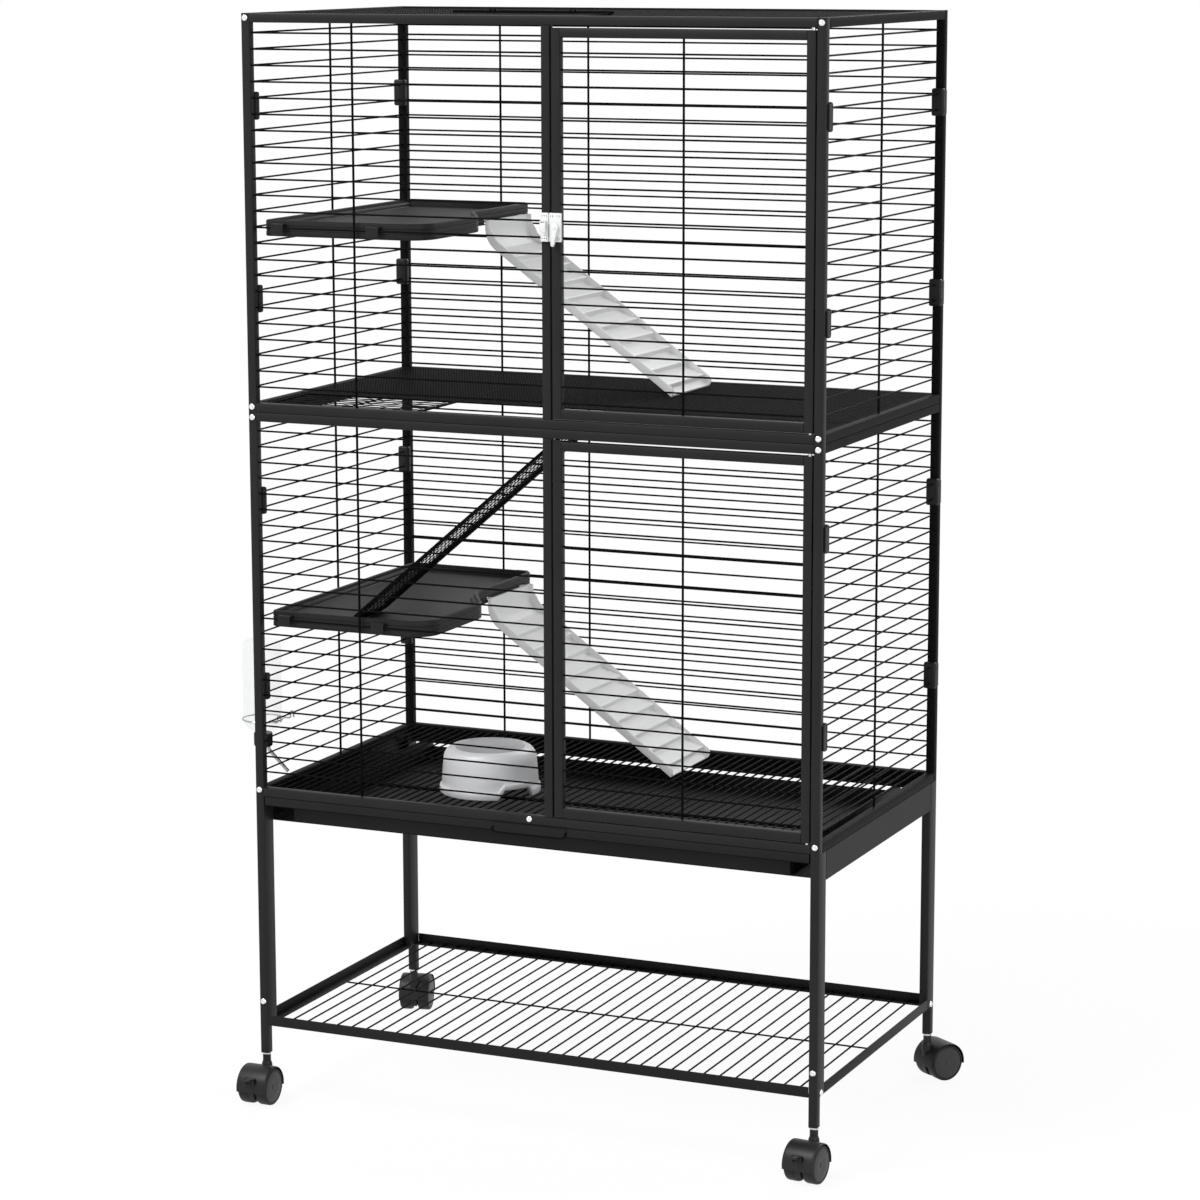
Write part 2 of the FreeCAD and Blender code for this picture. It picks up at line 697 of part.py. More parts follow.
def stand(leg_label, rail_label, frame_label, wire_label):
    legs = []
    for x in (LEFT, RIGHT + "-tube"):
        for y, foot_y in ((FRONT, FRONT), (REAR + "-leg_depth", REAR + "-tube")):
            legs.append(box(("tube", "leg_depth", "stand_height-shelf_level"), (x, y, "shelf_level")))
            legs.append(box(("tube", "tube", "shelf_level-leg_bottom"), (x, foot_y, "leg_bottom")))
    node(leg_label, group(legs))
    node(rail_label, rail_x(LEFT + "+tube", "frame_width-2*tube", REAR + "-tube", "stand_height-tube"))
    span = "frame_width-2*tube"
    run = "frame_depth-2*leg_depth"
    metal = "sheet_metal"
    lip = "shelf_angle-sheet_metal"
    node(frame_label, group([
        box((span, metal, "shelf_angle"), (LEFT + "+tube", FRONT, "shelf_level")),
        box((span, lip, metal), (LEFT + "+tube", FRONT + "+sheet_metal", "shelf_level")),
        box((span, metal, "shelf_angle"), (LEFT + "+tube", REAR + "-sheet_metal", "shelf_level")),
        box((span, lip, metal), (LEFT + "+tube", REAR + "-shelf_angle", "shelf_level")),
        box((metal, run, "shelf_angle"), (LEFT, FRONT + "+leg_depth", "shelf_level")),
        box((lip, run, metal), (LEFT + "+sheet_metal", FRONT + "+leg_depth", "shelf_level")),
        box((metal, run, "shelf_angle"), (RIGHT + "-sheet_metal", FRONT + "+leg_depth", "shelf_level")),
        box((lip, run, metal), (RIGHT + "-shelf_angle", FRONT + "+leg_depth", "shelf_level")),
    ]))
    wires = []
    level = "shelf_level+sheet_metal+wire/2"
    for index in range(SHELF_WIRES):
        x = "%s+tube+(frame_width-2*tube)*%s/%d" % (LEFT, index + 1, SHELF_WIRES + 1)
        wires.append(wire("y", "frame_depth-2*sheet_metal", (x, FRONT + "+sheet_metal", level)))
    start = (LEFT + "+shelf_angle", "0", level + "-wire")
    wires.append(wire("x", "frame_width-2*shelf_angle", start))
    node(wire_label, group(wires))


def caster(prefix, x, y, angle, brake):
    axle_x = "caster_trail"
    axle_z = "wheel_radius"
    reach = "(wheel_web/2+wheel_gap+wheel_width)"
    shell = prism("y", WHEEL_SIDES, "wheel_radius+2.8", "2*" + reach, (axle_x, "-" + reach, axle_z))
    hollow = prism("y", WHEEL_SIDES, "wheel_radius+1.2", "2*%s+2" % reach, (axle_x, "-%s-1" % reach, axle_z))
    below = box(("6*wheel_radius", "6*wheel_radius", "3*wheel_radius"),
                ("-3*wheel_radius", "-3*wheel_radius", "-2.15*wheel_radius"))
    web = prism("y", WHEEL_SIDES, "wheel_radius+2", "wheel_web", (axle_x, "-wheel_web/2", axle_z))
    low = box(("6*wheel_radius", "6*wheel_radius", "3*wheel_radius"),
              ("-3*wheel_radius", "-3*wheel_radius", "-2.6*wheel_radius"))
    top = "2*wheel_radius-3"
    pieces = [
        cut(shell, [hollow, below]),
        cut(web, [low]),
        box(("caster_trail-5", "wheel_web", "wheel_radius-2"), ("-neck_radius-1", "-wheel_web/2", axle_z)),
        prism("z", PIN_SIDES, "neck_radius+1.2", "7", ("0", "0", top)),
        prism("z", PIN_SIDES, "neck_radius", "leg_bottom-2.7-(%s)" % top, ("0", "0", top)),
    ]
    pin_x = "caster_trail+wheel_radius+2.4"
    pin_z = "wheel_radius+14.5"
    if brake:
        for offset in ("-7", "5"):
            corner = ("caster_trail+wheel_radius-0.5", offset, "wheel_radius+9")
            pieces.append(box(("5.5", "2", "8.2"), corner))
        pieces.append(peg("y", "brake_pin", "14", (pin_x, "-7", pin_z)))
    bored = cut(fuse(pieces), [socket("z", "stem_radius", "40", ("0", "0", top))])
    hood = fuse([bored, rod("y", "axle_radius", "2*" + reach, (axle_x, "-" + reach, axle_z))])
    wheels = []
    for start, face in (("wheel_web/2+wheel_gap", "%s-2" % reach), ("-" + reach, "-%s-1" % reach)):
        tyre = prism("y", WHEEL_SIDES, "wheel_radius", "wheel_width", (axle_x, start, axle_z))
        bore = socket("y", "axle_radius", "wheel_width+2", (axle_x, start + "-1", axle_z))
        dish = prism("y", 16, "0.72*wheel_radius", "3", (axle_x, face, axle_z))
        bevelled = sloped(tyre, "y", start[0] == "w", 3.0, 3.0)
        wheels.append(cut(bevelled, [bore, dish]))
    parts = [(prefix + "_hood", hood), (prefix + "_wheels", group(wheels))]
    if brake:
        hub = peg("y", "brake_pin+1.3", "9", (pin_x, "-4.5", pin_z))
        pedal = box(("10", "9", "2.2"), (pin_x, "-4.5", pin_z + "-0.2"))
        hole = socket("y", "brake_pin", "11", (pin_x, "-5.5", pin_z))
        parts.append((prefix + "_brake", cut(fuse([hub, pedal]), [hole])))
    for label, item in parts:
        item.Placement.Rotation = Rotation(Vector(0, 0, 1), angle)
        place(item, (x, y, "0"))
        node(label, item)


def stems(label, spots):
    pieces = []
    for x, y in spots:
        shaft = rod("z", "stem_radius", "leg_bottom-2*wheel_radius+1", (x, y, "2*wheel_radius-1"))
        collar = peg("z", "neck_radius+0.4", "2.5", (x, y, "leg_bottom-2.5"))
        pieces.append(fuse([shaft, collar]))
    return node(label, group(pieces))


def bowl(label):
    level = LOWER + "+floor_level"
    spot = ("bowl_x", "bowl_y")
    flat = math.cos(math.pi / BOWL_SIDES)
    waist = size("bowl_height") - size("bowl_shoulder")
    body = prism("z", BOWL_SIDES, "bowl_body_radius", "bowl_height-bowl_shoulder", spot + (level,))
    shoulder = prism("z", BOWL_SIDES, "bowl_waist_radius", "2*bowl_shoulder",
                     spot + (level + "+bowl_height-2*bowl_shoulder",))
    outer = fuse([
        prism("z", BOWL_SIDES, "bowl_base_radius", "bowl_flange", spot + (level,)),
        sloped(body, "z", True, 0.95 * waist, flat * (size("bowl_body_radius") - size("bowl_waist_radius"))),
        sloped(shoulder, "z", True, size("bowl_shoulder"),
               flat * (size("bowl_waist_radius") - size("bowl_rim_radius"))),
    ])
    hollow = prism("z", BOWL_SIDES, "bowl_rim_radius-5", "bowl_height", spot + (level + "+bowl_base",))
    well = sloped(hollow, "z", False, 0.8 * (size("bowl_height") - size("bowl_base")),
                  0.12 * size("bowl_rim_radius"))
    span = "2*bowl_base_radius+4"
    edge = "-bowl_base_radius-2"
    notches = [
        box(("44", span, "8"), ("bowl_x-22", "bowl_y" + edge, level + "-1")),
        box((span, "44", "8"), ("bowl_x" + edge, "bowl_y-22", level + "-1")),
    ]
    return node(label, cut(outer, [well] + notches))


def bottle(label, cap_label, tube_label, ring_label):
    x = "(%s-bottle_gap-bottle_radius)" % LEFT
    y = "(%s+bottle_inset)" % FRONT
    low = LOWER + "+bottle_level"
    form = prism("z", BOTTLE_SIDES, "bottle_radius", "bottle_length+bottle_taper", (x, y, low))
    neck_inset = math.cos(math.pi / BOTTLE_SIDES) * (size("bottle_radius") - size("cap_radius") - 1)
    node(label, sloped(form, "z", False, size("bottle_taper"), neck_inset))
    drop = low + "-cap_height"
    node(cap_label, prism("z", BOTTLE_SIDES, "cap_radius", "cap_height", (x, y, drop)))
    mouth = x + "+0.3*bottle_radius"
    neck = peg("z", "spout_radius", "1.5*spout_radius", (mouth, y, drop + "-1.5*spout_radius"))
    run = "bottle_gap+0.7*bottle_radius+0.7*tube"
    spout = peg("z", "spout_radius", "(%s)/cos(45)" % run, (mouth, y, drop + "-0.75*spout_radius"))
    spout.Placement.Rotation = Rotation(Vector(0, 1, 0), 135)
    node(tube_label, fuse([neck, spout]))
    row = row_level(LOWER, 3)
    ring_level = row + "-3*wire"
    hoop = cut(prism("z", BOTTLE_SIDES, "bottle_radius+wire", "wire", (x, y, ring_level + "-wire/2")),
               [prism("z", BOTTLE_SIDES, "bottle_radius", "3*wire", (x, y, ring_level + "-1.5*wire"))])
    pieces = [hoop]
    outside = LEFT + "+tube/2-wire"
    for offset in ("-0.68*bottle_radius", "+0.68*bottle_radius"):
        arm_y = y + offset
        start = "%s+0.8*bottle_radius" % x
        pieces.append(wire("x", "(%s+wire/2)-(%s)" % (outside, start), (start, arm_y, ring_level)))
        pieces.append(wire("z", "4*wire", (outside, arm_y, ring_level)))
        pieces.append(wire("x", "3*wire", (outside + "-wire/2", arm_y, row + "+wire")))
        pieces.append(wire("z", "4*wire", (outside + "+2*wire", arm_y, row + "-2.5*wire")))
    node(ring_label, fuse(pieces))


for prefix, base in (("upper", UPPER), ("lower", LOWER)):
    front_panel(prefix + "_front_panel", base)
    rear_panel(prefix + "_rear_panel", base)
    side_panel(prefix + "_left_panel", base, LEFT, LEFT + "+tube/2", "+")
    side_panel(prefix + "_right_panel", base, RIGHT + "-tube", RIGHT + "-tube/2", "-")
    door(prefix + "_door", prefix + "_door_pins", base)
    panel_clips(prefix + "_panel_clips", base)
    platform(prefix + "_platform", prefix + "_platform_clips", base)
    ramp(prefix + "_ramp", base)

mesh_plate("top_mesh", LID_SEAT)
mesh_plate("middle_floor_mesh", "(%s+floor_level)" % UPPER)
floor_grid("lower_floor_grid", LOWER)
mesh_ramp("mesh_ramp", "mesh_ramp_eyes")
top_hatch("top_hatch", "top_hatch_eyes")
latch("latch_keeper", "latch_base", "latch_lever")
tray("tray", "tray_screw", "tray_runners")
stand("stand_legs", "stand_rear_rail", "shelf_frame", "shelf_wires")

front_spots = []
rear_spots = []
for level in (TOP + "-tube/2", UPPER + "+0.6*tube", UPPER + "-0.55*tube", LOWER + "+0.75*tube",
              "shelf_level+33"):
    for x in (LEFT + "+tube/2", RIGHT + "-tube/2"):
        front_spots.append((x, FRONT + "-bolt_head", level))
        rear_spots.append((x, REAR, level))
bolts("front_bolts", "y", front_spots)
bolts("rear_bolts", "y", rear_spots)
side_spots = []
for x in (LEFT + "-bolt_head", RIGHT):
    for y in (FRONT + "+leg_depth/2", REAR + "-leg_depth/2"):
        side_spots.append((x, y, "shelf_level+4.5"))
bolts("side_bolts", "x", side_spots)

corners = (
    ("caster_front_left", LEFT + "+tube/2", FRONT + "+tube/2", -90, True),
    ("caster_front_right", RIGHT + "-tube/2", FRONT + "+tube/2", -96, True),
    ("caster_rear_left", LEFT + "+tube/2", REAR + "-tube/2", 105, False),
    ("caster_rear_right", RIGHT + "-tube/2", REAR + "-tube/2", 55, False),
)
for prefix, x, y, angle, brake in corners:
    caster(prefix, x, y, angle, brake)
stems("caster_stems", [(x, y) for prefix, x, y, angle, brake in corners])
bowl("bowl")
bottle("bottle", "bottle_cap", "bottle_tube", "bottle_ring")

doc.recompute()
for item in doc.Objects:
    if "Invalid" in item.State or "Error" in item.State:
        raise RuntimeError("%s failed" % item.Label)
for item in NODES:
    if item.Shape.isNull() or not item.Shape.isValid():
        raise RuntimeError("%s has no valid shape" % item.Label)
os.makedirs("parts", exist_ok=True)
for item in NODES:
    item.Shape.exportStep("parts/%s.step" % item.Label)
print(len(NODES), "parts")
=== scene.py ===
import bpy
import bmesh
import math
from mathutils import Matrix, Vector


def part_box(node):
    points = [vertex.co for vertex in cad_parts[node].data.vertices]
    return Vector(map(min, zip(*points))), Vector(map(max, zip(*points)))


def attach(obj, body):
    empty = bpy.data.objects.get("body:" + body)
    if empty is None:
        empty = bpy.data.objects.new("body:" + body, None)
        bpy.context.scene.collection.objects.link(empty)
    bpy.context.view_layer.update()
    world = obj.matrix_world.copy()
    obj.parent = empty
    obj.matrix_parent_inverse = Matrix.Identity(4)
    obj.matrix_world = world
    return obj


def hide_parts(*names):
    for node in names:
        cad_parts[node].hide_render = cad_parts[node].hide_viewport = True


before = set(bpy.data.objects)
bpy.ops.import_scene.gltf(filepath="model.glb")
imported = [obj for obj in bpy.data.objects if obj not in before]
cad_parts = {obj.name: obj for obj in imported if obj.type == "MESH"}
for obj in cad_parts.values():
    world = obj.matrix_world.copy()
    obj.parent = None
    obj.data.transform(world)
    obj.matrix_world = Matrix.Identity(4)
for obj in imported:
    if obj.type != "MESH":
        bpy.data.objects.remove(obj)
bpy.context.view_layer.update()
scene = bpy.context.scene
scene.view_settings.view_transform = "Standard"

# Camera fitted to the photograph without shift: angles in radians, lens in millimetres, place in metres.
YAW, PITCH, ROLL = 0.419776, 0.180799, -0.002098
LENS = 109.987
CAMERA_PLACE = (1.956055, -4.378718, 1.553739)
camera_data = bpy.data.cameras.new("camera")
camera_data.lens = LENS
camera_data.sensor_width = 36.0
camera_data.clip_end = 60.0
forward = Vector((-math.sin(YAW) * math.cos(PITCH), math.cos(YAW) * math.cos(PITCH), -math.sin(PITCH)))
level = Vector((math.cos(YAW), math.sin(YAW), 0.0))
above = level.cross(forward)
right = math.cos(ROLL) * level + math.sin(ROLL) * above
up = -math.sin(ROLL) * level + math.cos(ROLL) * above
camera = bpy.data.objects.new("camera", camera_data)
scene.collection.objects.link(camera)
turn = Matrix((right, up, -forward)).transposed().to_4x4()
camera.matrix_world = Matrix.Translation(CAMERA_PLACE) @ turn
scene.camera = camera


def seen_share(tree):
    """One for the rays that show the background: camera, glossy and transmission rays."""
    path = tree.nodes.new("ShaderNodeLightPath")
    share = path.outputs["Is Camera Ray"]
    for kind in ("Is Glossy Ray", "Is Transmission Ray"):
        either = tree.nodes.new("ShaderNodeMath")
        either.operation = "MAXIMUM"
        tree.links.new(share, either.inputs[0])
        tree.links.new(path.outputs[kind], either.inputs[1])
        share = either.outputs[0]
    return share


def white_world():
    world = bpy.data.worlds.new("studio")
    world.use_nodes = True
    scene.world = world
    tree = world.node_tree
    tree.nodes.clear()
    out = tree.nodes.new("ShaderNodeOutputWorld")
    mix = tree.nodes.new("ShaderNodeMixShader")
    soft = tree.nodes.new("ShaderNodeBackground")
    soft.inputs["Color"].default_value = (0.95, 0.97, 1.0, 1.0)
    soft.inputs["Strength"].default_value = 0.55
    seen = tree.nodes.new("ShaderNodeBackground")
    seen.inputs["Color"].default_value = (1.0, 1.0, 1.0, 1.0)
    seen.inputs["Strength"].default_value = 1.0
    tree.links.new(seen_share(tree), mix.inputs["Fac"])
    tree.links.new(soft.outputs[0], mix.inputs[1])
    tree.links.new(seen.outputs[0], mix.inputs[2])
    tree.links.new(mix.outputs[0], out.inputs["Surface"])


white_world()


def lamp(name, place, aim, wide, power):
    data = bpy.data.lights.new(name, "AREA")
    data.shape = "DISK"
    data.size = wide
    data.energy = power
    item = bpy.data.objects.new(name, data)
    scene.collection.objects.link(item)
    item.location = place
    item.rotation_euler = (Vector(aim) - Vector(place)).to_track_quat("-Z", "Y").to_euler()


lamp("key", (-1.7, -2.6, 4.4), (0.0, 0.0, 0.8), 2.2, 190.0)
lamp("fill", (3.4, -2.4, 2.0), (0.0, 0.0, 0.7), 2.4, 55.0)
lamp("rim", (0.6, 3.2, 3.0), (0.0, 0.0, 0.9), 2.0, 60.0)

floor_mesh = bpy.data.meshes.new("floor")
floor_mesh.from_pydata([(-9, -9, 0), (9, -9, 0), (9, 9, 0), (-9, 9, 0)], [], [(0, 1, 2, 3)])
floor = bpy.data.objects.new("floor", floor_mesh)
scene.collection.objects.link(floor)


# One scale for the whole script: shapes are written in millimetres and stored in metres.
MM = 0.001


def span(node):
    low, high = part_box(node)
    return low / MM, high / MM


# Driving sizes, read from the frame.
PANEL_LOW, PANEL_HIGH = span("upper_front_panel")
HALF_W = PANEL_HIGH.x
HALF_D = -PANEL_LOW.y
TUBE = PANEL_HIGH.y - PANEL_LOW.y
HEIGHT = PANEL_HIGH.z - PANEL_LOW.z
BASES = {"upper": PANEL_LOW.z, "lower": span("lower_front_panel")[0].z}
DOOR_LOW = span("upper_door")[0]
POST_X = DOOR_LOW.x - 2.0 - TUBE / 2
TOP_MESH = span("top_mesh")[1].z
MIDDLE_FLOOR = span("middle_floor_mesh")[1].z
STAND_TOP = BASES["lower"]
TUBE_EDGE = 1.5
WIRE = 1.2
UPRIGHT = 1.6
SEAT = 1.0
FIRST_ROW = 33.0
ROW_PITCH = 20.75
ROWS = 23
FRONT_UPRIGHT_X = -245.0
REAR_UPRIGHTS_X = (-246.0, -113.0)
SIDE_UPRIGHT_Y = -1.0
HATCH = (-155.0, 60.0, -207.0, -105.0)


class Form:
    """Collects the faces of one piece, in millimetres."""

    def __init__(self, matrix=None):
        self.points = []
        self.faces = []
        self.matrix = matrix or Matrix.Identity(4)

    def add(self, points, faces):
        start = len(self.points)
        self.points.extend(self.matrix @ Vector(point) for point in points)
        self.faces.extend(tuple(start + index for index in face) for face in faces)

    def loft(self, rings, caps=True, closed=False):
        count = len(rings[0])
        faces = []
        for first in range(len(rings) if closed else len(rings) - 1):
            second = (first + 1) % len(rings)
            for side in range(count):
                after = (side + 1) % count
                faces.append((first * count + side, first * count + after,
                              second * count + after, second * count + side))
        if caps and not closed:
            faces.append(tuple(reversed(range(count))))
            faces.append(tuple(range(len(rings) * count - count, len(rings) * count)))
        self.add([point for ring in rings for point in ring], faces)

    def sweep(self, path, radius, sides=8, closed=False):
        path = [Vector(point) for point in path]
        count = len(path)
        rings = []
        across = None
        for index, point in enumerate(path):
            before = path[index - 1] if index or closed else point
            after = path[(index + 1) % count] if index + 1 < count or closed else point
            along = (after - before).normalized()
            if across is None:
                across = along.orthogonal().normalized()
            across = (across - along * across.dot(along)).normalized()
            other = along.cross(across)
            ring = []
            for side in range(sides):
                angle = math.tau * side / sides
                ring.append(point + radius * (math.cos(angle) * across + math.sin(angle) * other))
            rings.append(ring)
        self.loft(rings, closed=closed)

    def rod(self, start, end, radius, sides=8):
        self.sweep((start, end), radius, sides)

    def bar(self, axis, low, high, edge=TUBE_EDGE, steps=2):
        """A straight bar of rounded rectangular section."""
        run = "xyz".index(axis)
        one, two = [index for index in range(3) if index != run]
        section = []
        for sign_one, sign_two, start in ((1, 1, 0), (-1, 1, 90), (-1, -1, 180), (1, -1, 270)):
            for step in range(steps + 1):
                angle = math.radians(start + 90 * step / steps)
                first = (high[one] if sign_one > 0 else low[one]) - sign_one * edge
                second = (high[two] if sign_two > 0 else low[two]) - sign_two * edge
                section.append((first + edge * math.cos(angle), second + edge * math.sin(angle)))
        rings = []
        for level in (low[run], high[run]):
            ring = []
            for first, second in section:
                point = [0.0, 0.0, 0.0]
                point[run], point[one], point[two] = level, first, second
                ring.append(point)
            rings.append(ring)
        self.loft(rings)

    def block(self, low, high, edge=0.8, steps=2):
        """A box with all its edges rounded."""
        mesh = bmesh.new()
        bmesh.ops.create_cube(mesh, size=1.0)
        low = Vector(low)
        high = Vector(high)
        for vert in mesh.verts:
            vert.co = [(low[i] + high[i]) / 2 + vert.co[i] * (high[i] - low[i]) for i in range(3)]
        bmesh.ops.bevel(mesh, geom=mesh.edges[:], offset=edge, segments=steps, affect="EDGES", profile=0.5)
        mesh.verts.index_update()
        self.add([vert.co.copy() for vert in mesh.verts],
                 [[vert.index for vert in face.verts] for face in mesh.faces])
        mesh.free()

    def turned(self, profile, centre, axis="z", sides=32):
        """Turns (radius, height) points round an axis, with flat ends."""
        centre = Vector(centre)
        along = Vector([float(name == axis[-1]) for name in "xyz"])
        if axis[0] == "-":
            along = -along
        first = along.orthogonal().normalized()
        second = along.cross(first)
        rings = []
        for radius, height in profile:
            ring = []
            for side in range(sides):
                angle = math.tau * side / sides
                ring.append(centre + along * height
                            + radius * (math.cos(angle) * first + math.sin(angle) * second))
            rings.append(ring)
        self.loft(rings)

    def slab(self, outline, put, low, high):
        """An outline in its own plane, thickened; put(u, v, w) gives the place."""
        self.loft([[put(u, v, level) for u, v in outline] for level in (low, high)])

    def done(self, name, material, body, slot, *nodes):
        mesh = bpy.data.meshes.new(name)
        mesh.from_pydata([point * MM for point in self.points], [], self.faces)
        sheet = bmesh.new()
        sheet.from_mesh(mesh)
        bmesh.ops.recalc_face_normals(sheet, faces=sheet.faces[:])
        sheet.to_mesh(mesh)
        sheet.free()
        mesh.shade_smooth()
        mesh.set_sharp_from_angle(angle=math.radians(34))
        mesh.materials.append(material)
        item = bpy.data.objects.new(name, mesh)
        scene.collection.objects.link(item)
        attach(item, body)
        if nodes:
            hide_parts(*nodes)
        return item


def noise(tree, place, scale, detail, stretch):
    mapping = tree.nodes.new("ShaderNodeMapping")
    mapping.inputs["Scale"].default_value = stretch
    texture = tree.nodes.new("ShaderNodeTexNoise")
    texture.inputs["Scale"].default_value = scale
    texture.inputs["Detail"].default_value = detail
    tree.links.new(place.outputs["Object"], mapping.inputs["Vector"])
    tree.links.new(mapping.outputs["Vector"], texture.inputs["Vector"])
    return texture


def surface(name, colour, rough, grain, bump, spread=0.1, metal=0.0, specular=0.5, stretch=(1.0, 1.0, 1.0)):
    """A finish with slow shifts of tone, finer shifts of gloss and a bump of the given grain per metre."""
    item = bpy.data.materials.new(name)
    item.use_nodes = True
    tree = item.node_tree
    shader = tree.nodes["Principled BSDF"]
    shader.inputs["Metallic"].default_value = metal
    shader.inputs["Specular IOR Level"].default_value = specular
    place = tree.nodes.new("ShaderNodeTexCoord")
    slow = noise(tree, place, 14.0, 5.0, (1.0, 1.0, 1.0))
    fine = noise(tree, place, grain, 3.0, stretch)
    tone = tree.nodes.new("ShaderNodeValToRGB")
    for stop, share, where in zip(tone.color_ramp.elements, (1 - spread, 1 + spread), (0.35, 0.65)):
        stop.position = where
        stop.color = [min(1.0, channel * share) for channel in colour] + [1.0]
    gloss = tree.nodes.new("ShaderNodeMapRange")
    gloss.inputs["From Min"].default_value = 0.3
    gloss.inputs["From Max"].default_value = 0.7
    gloss.inputs["To Min"].default_value = rough - 0.06
    gloss.inputs["To Max"].default_value = rough + 0.06
    relief = tree.nodes.new("ShaderNodeBump")
    relief.inputs["Strength"].default_value = bump
    relief.inputs["Distance"].default_value = 0.0003
    tree.links.new(slow.outputs["Fac"], tone.inputs["Fac"])
    tree.links.new(tone.outputs["Color"], shader.inputs["Base Color"])
    tree.links.new(fine.outputs["Fac"], gloss.inputs["Value"])
    tree.links.new(gloss.outputs["Result"], shader.inputs["Roughness"])
    tree.links.new(fine.outputs["Fac"], relief.inputs["Height"])
    tree.links.new(relief.outputs["Normal"], shader.inputs["Normal"])
    return item


POWDER = surface("powder_coat", (0.0095, 0.0095, 0.0097), 0.5, 900.0, 0.25, 0.1, 0.0, 0.2)
# Painted shade: a darker, less glossy copy of the black powder coat, used for the rear and side grilles and
# the rear stand rail.
PAINTED_SHADE_COAT = surface("powder_coat_painted_shade", (0.0045, 0.0045, 0.0046), 0.55, 900.0, 0.25, 0.1, 0.0, 0.05)
WIRE_COAT = surface("wire_coat", (0.0026, 0.0026, 0.0027), 0.55, 900.0, 0.2, 0.1, 0.0, 0.03)
MESH_COAT = surface("mesh_coat", (0.0042, 0.0042, 0.0044), 0.65, 1100.0, 0.3, 0.1, 0.0, 0.015)
SHEET_COAT = surface("sheet_coat", (0.008, 0.008, 0.0082), 0.55, 900.0, 0.25, 0.1, 0.0, 0.16)
CLIP = surface("clip_plastic", (0.009, 0.009, 0.0092), 0.45, 1600.0, 0.15, 0.1, 0.0, 0.2)
PLATFORM = surface("platform_plastic", (0.0165, 0.0165, 0.017), 0.5, 1500.0, 0.3, 0.1, 0.0, 0.13)
RAMP = surface("ramp_plastic", (0.79, 0.79, 0.785), 0.5, 1300.0, 0.12, 0.02, 0.0, 0.35)
BOWL = surface("bowl_plastic", (0.6, 0.6, 0.605), 0.36, 900.0, 0.08, 0.03, 0.0, 0.5)
LATCH = surface("latch_plastic", (0.66, 0.66, 0.656), 0.4, 1200.0, 0.06, 0.02)
ZINC = surface("bright_zinc", (0.82, 0.82, 0.83), 0.24, 700.0, 0.08, 0.06, 1.0)
STEEL = surface("turned_steel", (0.6, 0.6, 0.61), 0.3, 500.0, 0.12, 0.08, 1.0, 0.5, (1.0, 1.0, 9.0))
CHROME = surface("polished_steel", (0.4, 0.4, 0.41), 0.2, 600.0, 0.04, 0.05, 1.0)
CASTER = surface("caster_plastic", (0.013, 0.013, 0.0132), 0.42, 1300.0, 0.2, 0.1, 0.0, 0.22)
TREAD = surface("tread_plastic", (0.012, 0.012, 0.0122), 0.5, 700.0, 0.35, 0.1, 0.0, 0.2)
# Painted light: the wheel's own black plastic, made lighter on the wheel faces as if lit from the side.
PAINTED_LIGHT_DISC = surface("wheel_plastic_painted_light", (0.038, 0.038, 0.0385), 0.45, 1300.0, 0.2, 0.1, 0.0, 0.22)
CLEAR = surface("clear_plastic", (0.82, 0.85, 0.86), 0.12, 200.0, 0.03, 0.02)
CLEAR.node_tree.nodes["Principled BSDF"].inputs["Alpha"].default_value = 0.16


def pale_floor():
    item = bpy.data.materials.new("pale_floor")
    item.use_nodes = True
    tree = item.node_tree
    tree.nodes.clear()
    out = tree.nodes.new("ShaderNodeOutputMaterial")
    mix = tree.nodes.new("ShaderNodeMixShader")
    matte = tree.nodes.new("ShaderNodeBsdfDiffuse")
    matte.inputs["Color"].default_value = (0.86, 0.86, 0.86, 1.0)
    white = tree.nodes.new("ShaderNodeEmission")
    white.inputs["Color"].default_value = (1.0, 1.0, 1.0, 1.0)
    white.inputs["Strength"].default_value = 1.0
    share = tree.nodes.new("ShaderNodeMath")
    share.operation = "MULTIPLY"
    place = tree.nodes.new("ShaderNodeTexCoord")
    away = tree.nodes.new("ShaderNodeVectorMath")
    away.operation = "LENGTH"
    fade = tree.nodes.new("ShaderNodeMapRange")
    fade.inputs["From Min"].default_value = 0.6
    fade.inputs["From Max"].default_value = 1.6
    fade.inputs["To Min"].default_value = 0.93
    fade.inputs["To Max"].default_value = 1.0
    tree.links.new(place.outputs["Object"], away.inputs[0])
    tree.links.new(away.outputs["Value"], fade.inputs["Value"])
    tree.links.new(fade.outputs["Result"], share.inputs[1])
    tree.links.new(seen_share(tree), share.inputs[0])
    tree.links.new(share.outputs[0], mix.inputs["Fac"])
    tree.links.new(matte.outputs[0], mix.inputs[1])
    tree.links.new(white.outputs[0], mix.inputs[2])
    tree.links.new(mix.outputs[0], out.inputs["Surface"])
    return item


floor_mesh.materials.append(pale_floor())


def row_levels(base, count=ROWS):
    return [base + FIRST_ROW + ROW_PITCH * index for index in range(count)]


def upright(form, x, y, low, high):
    """An upright wire of a grille, let into the tubes at both ends."""
    form.rod((x, y, low - SEAT), (x, y, high + SEAT), UPRIGHT)


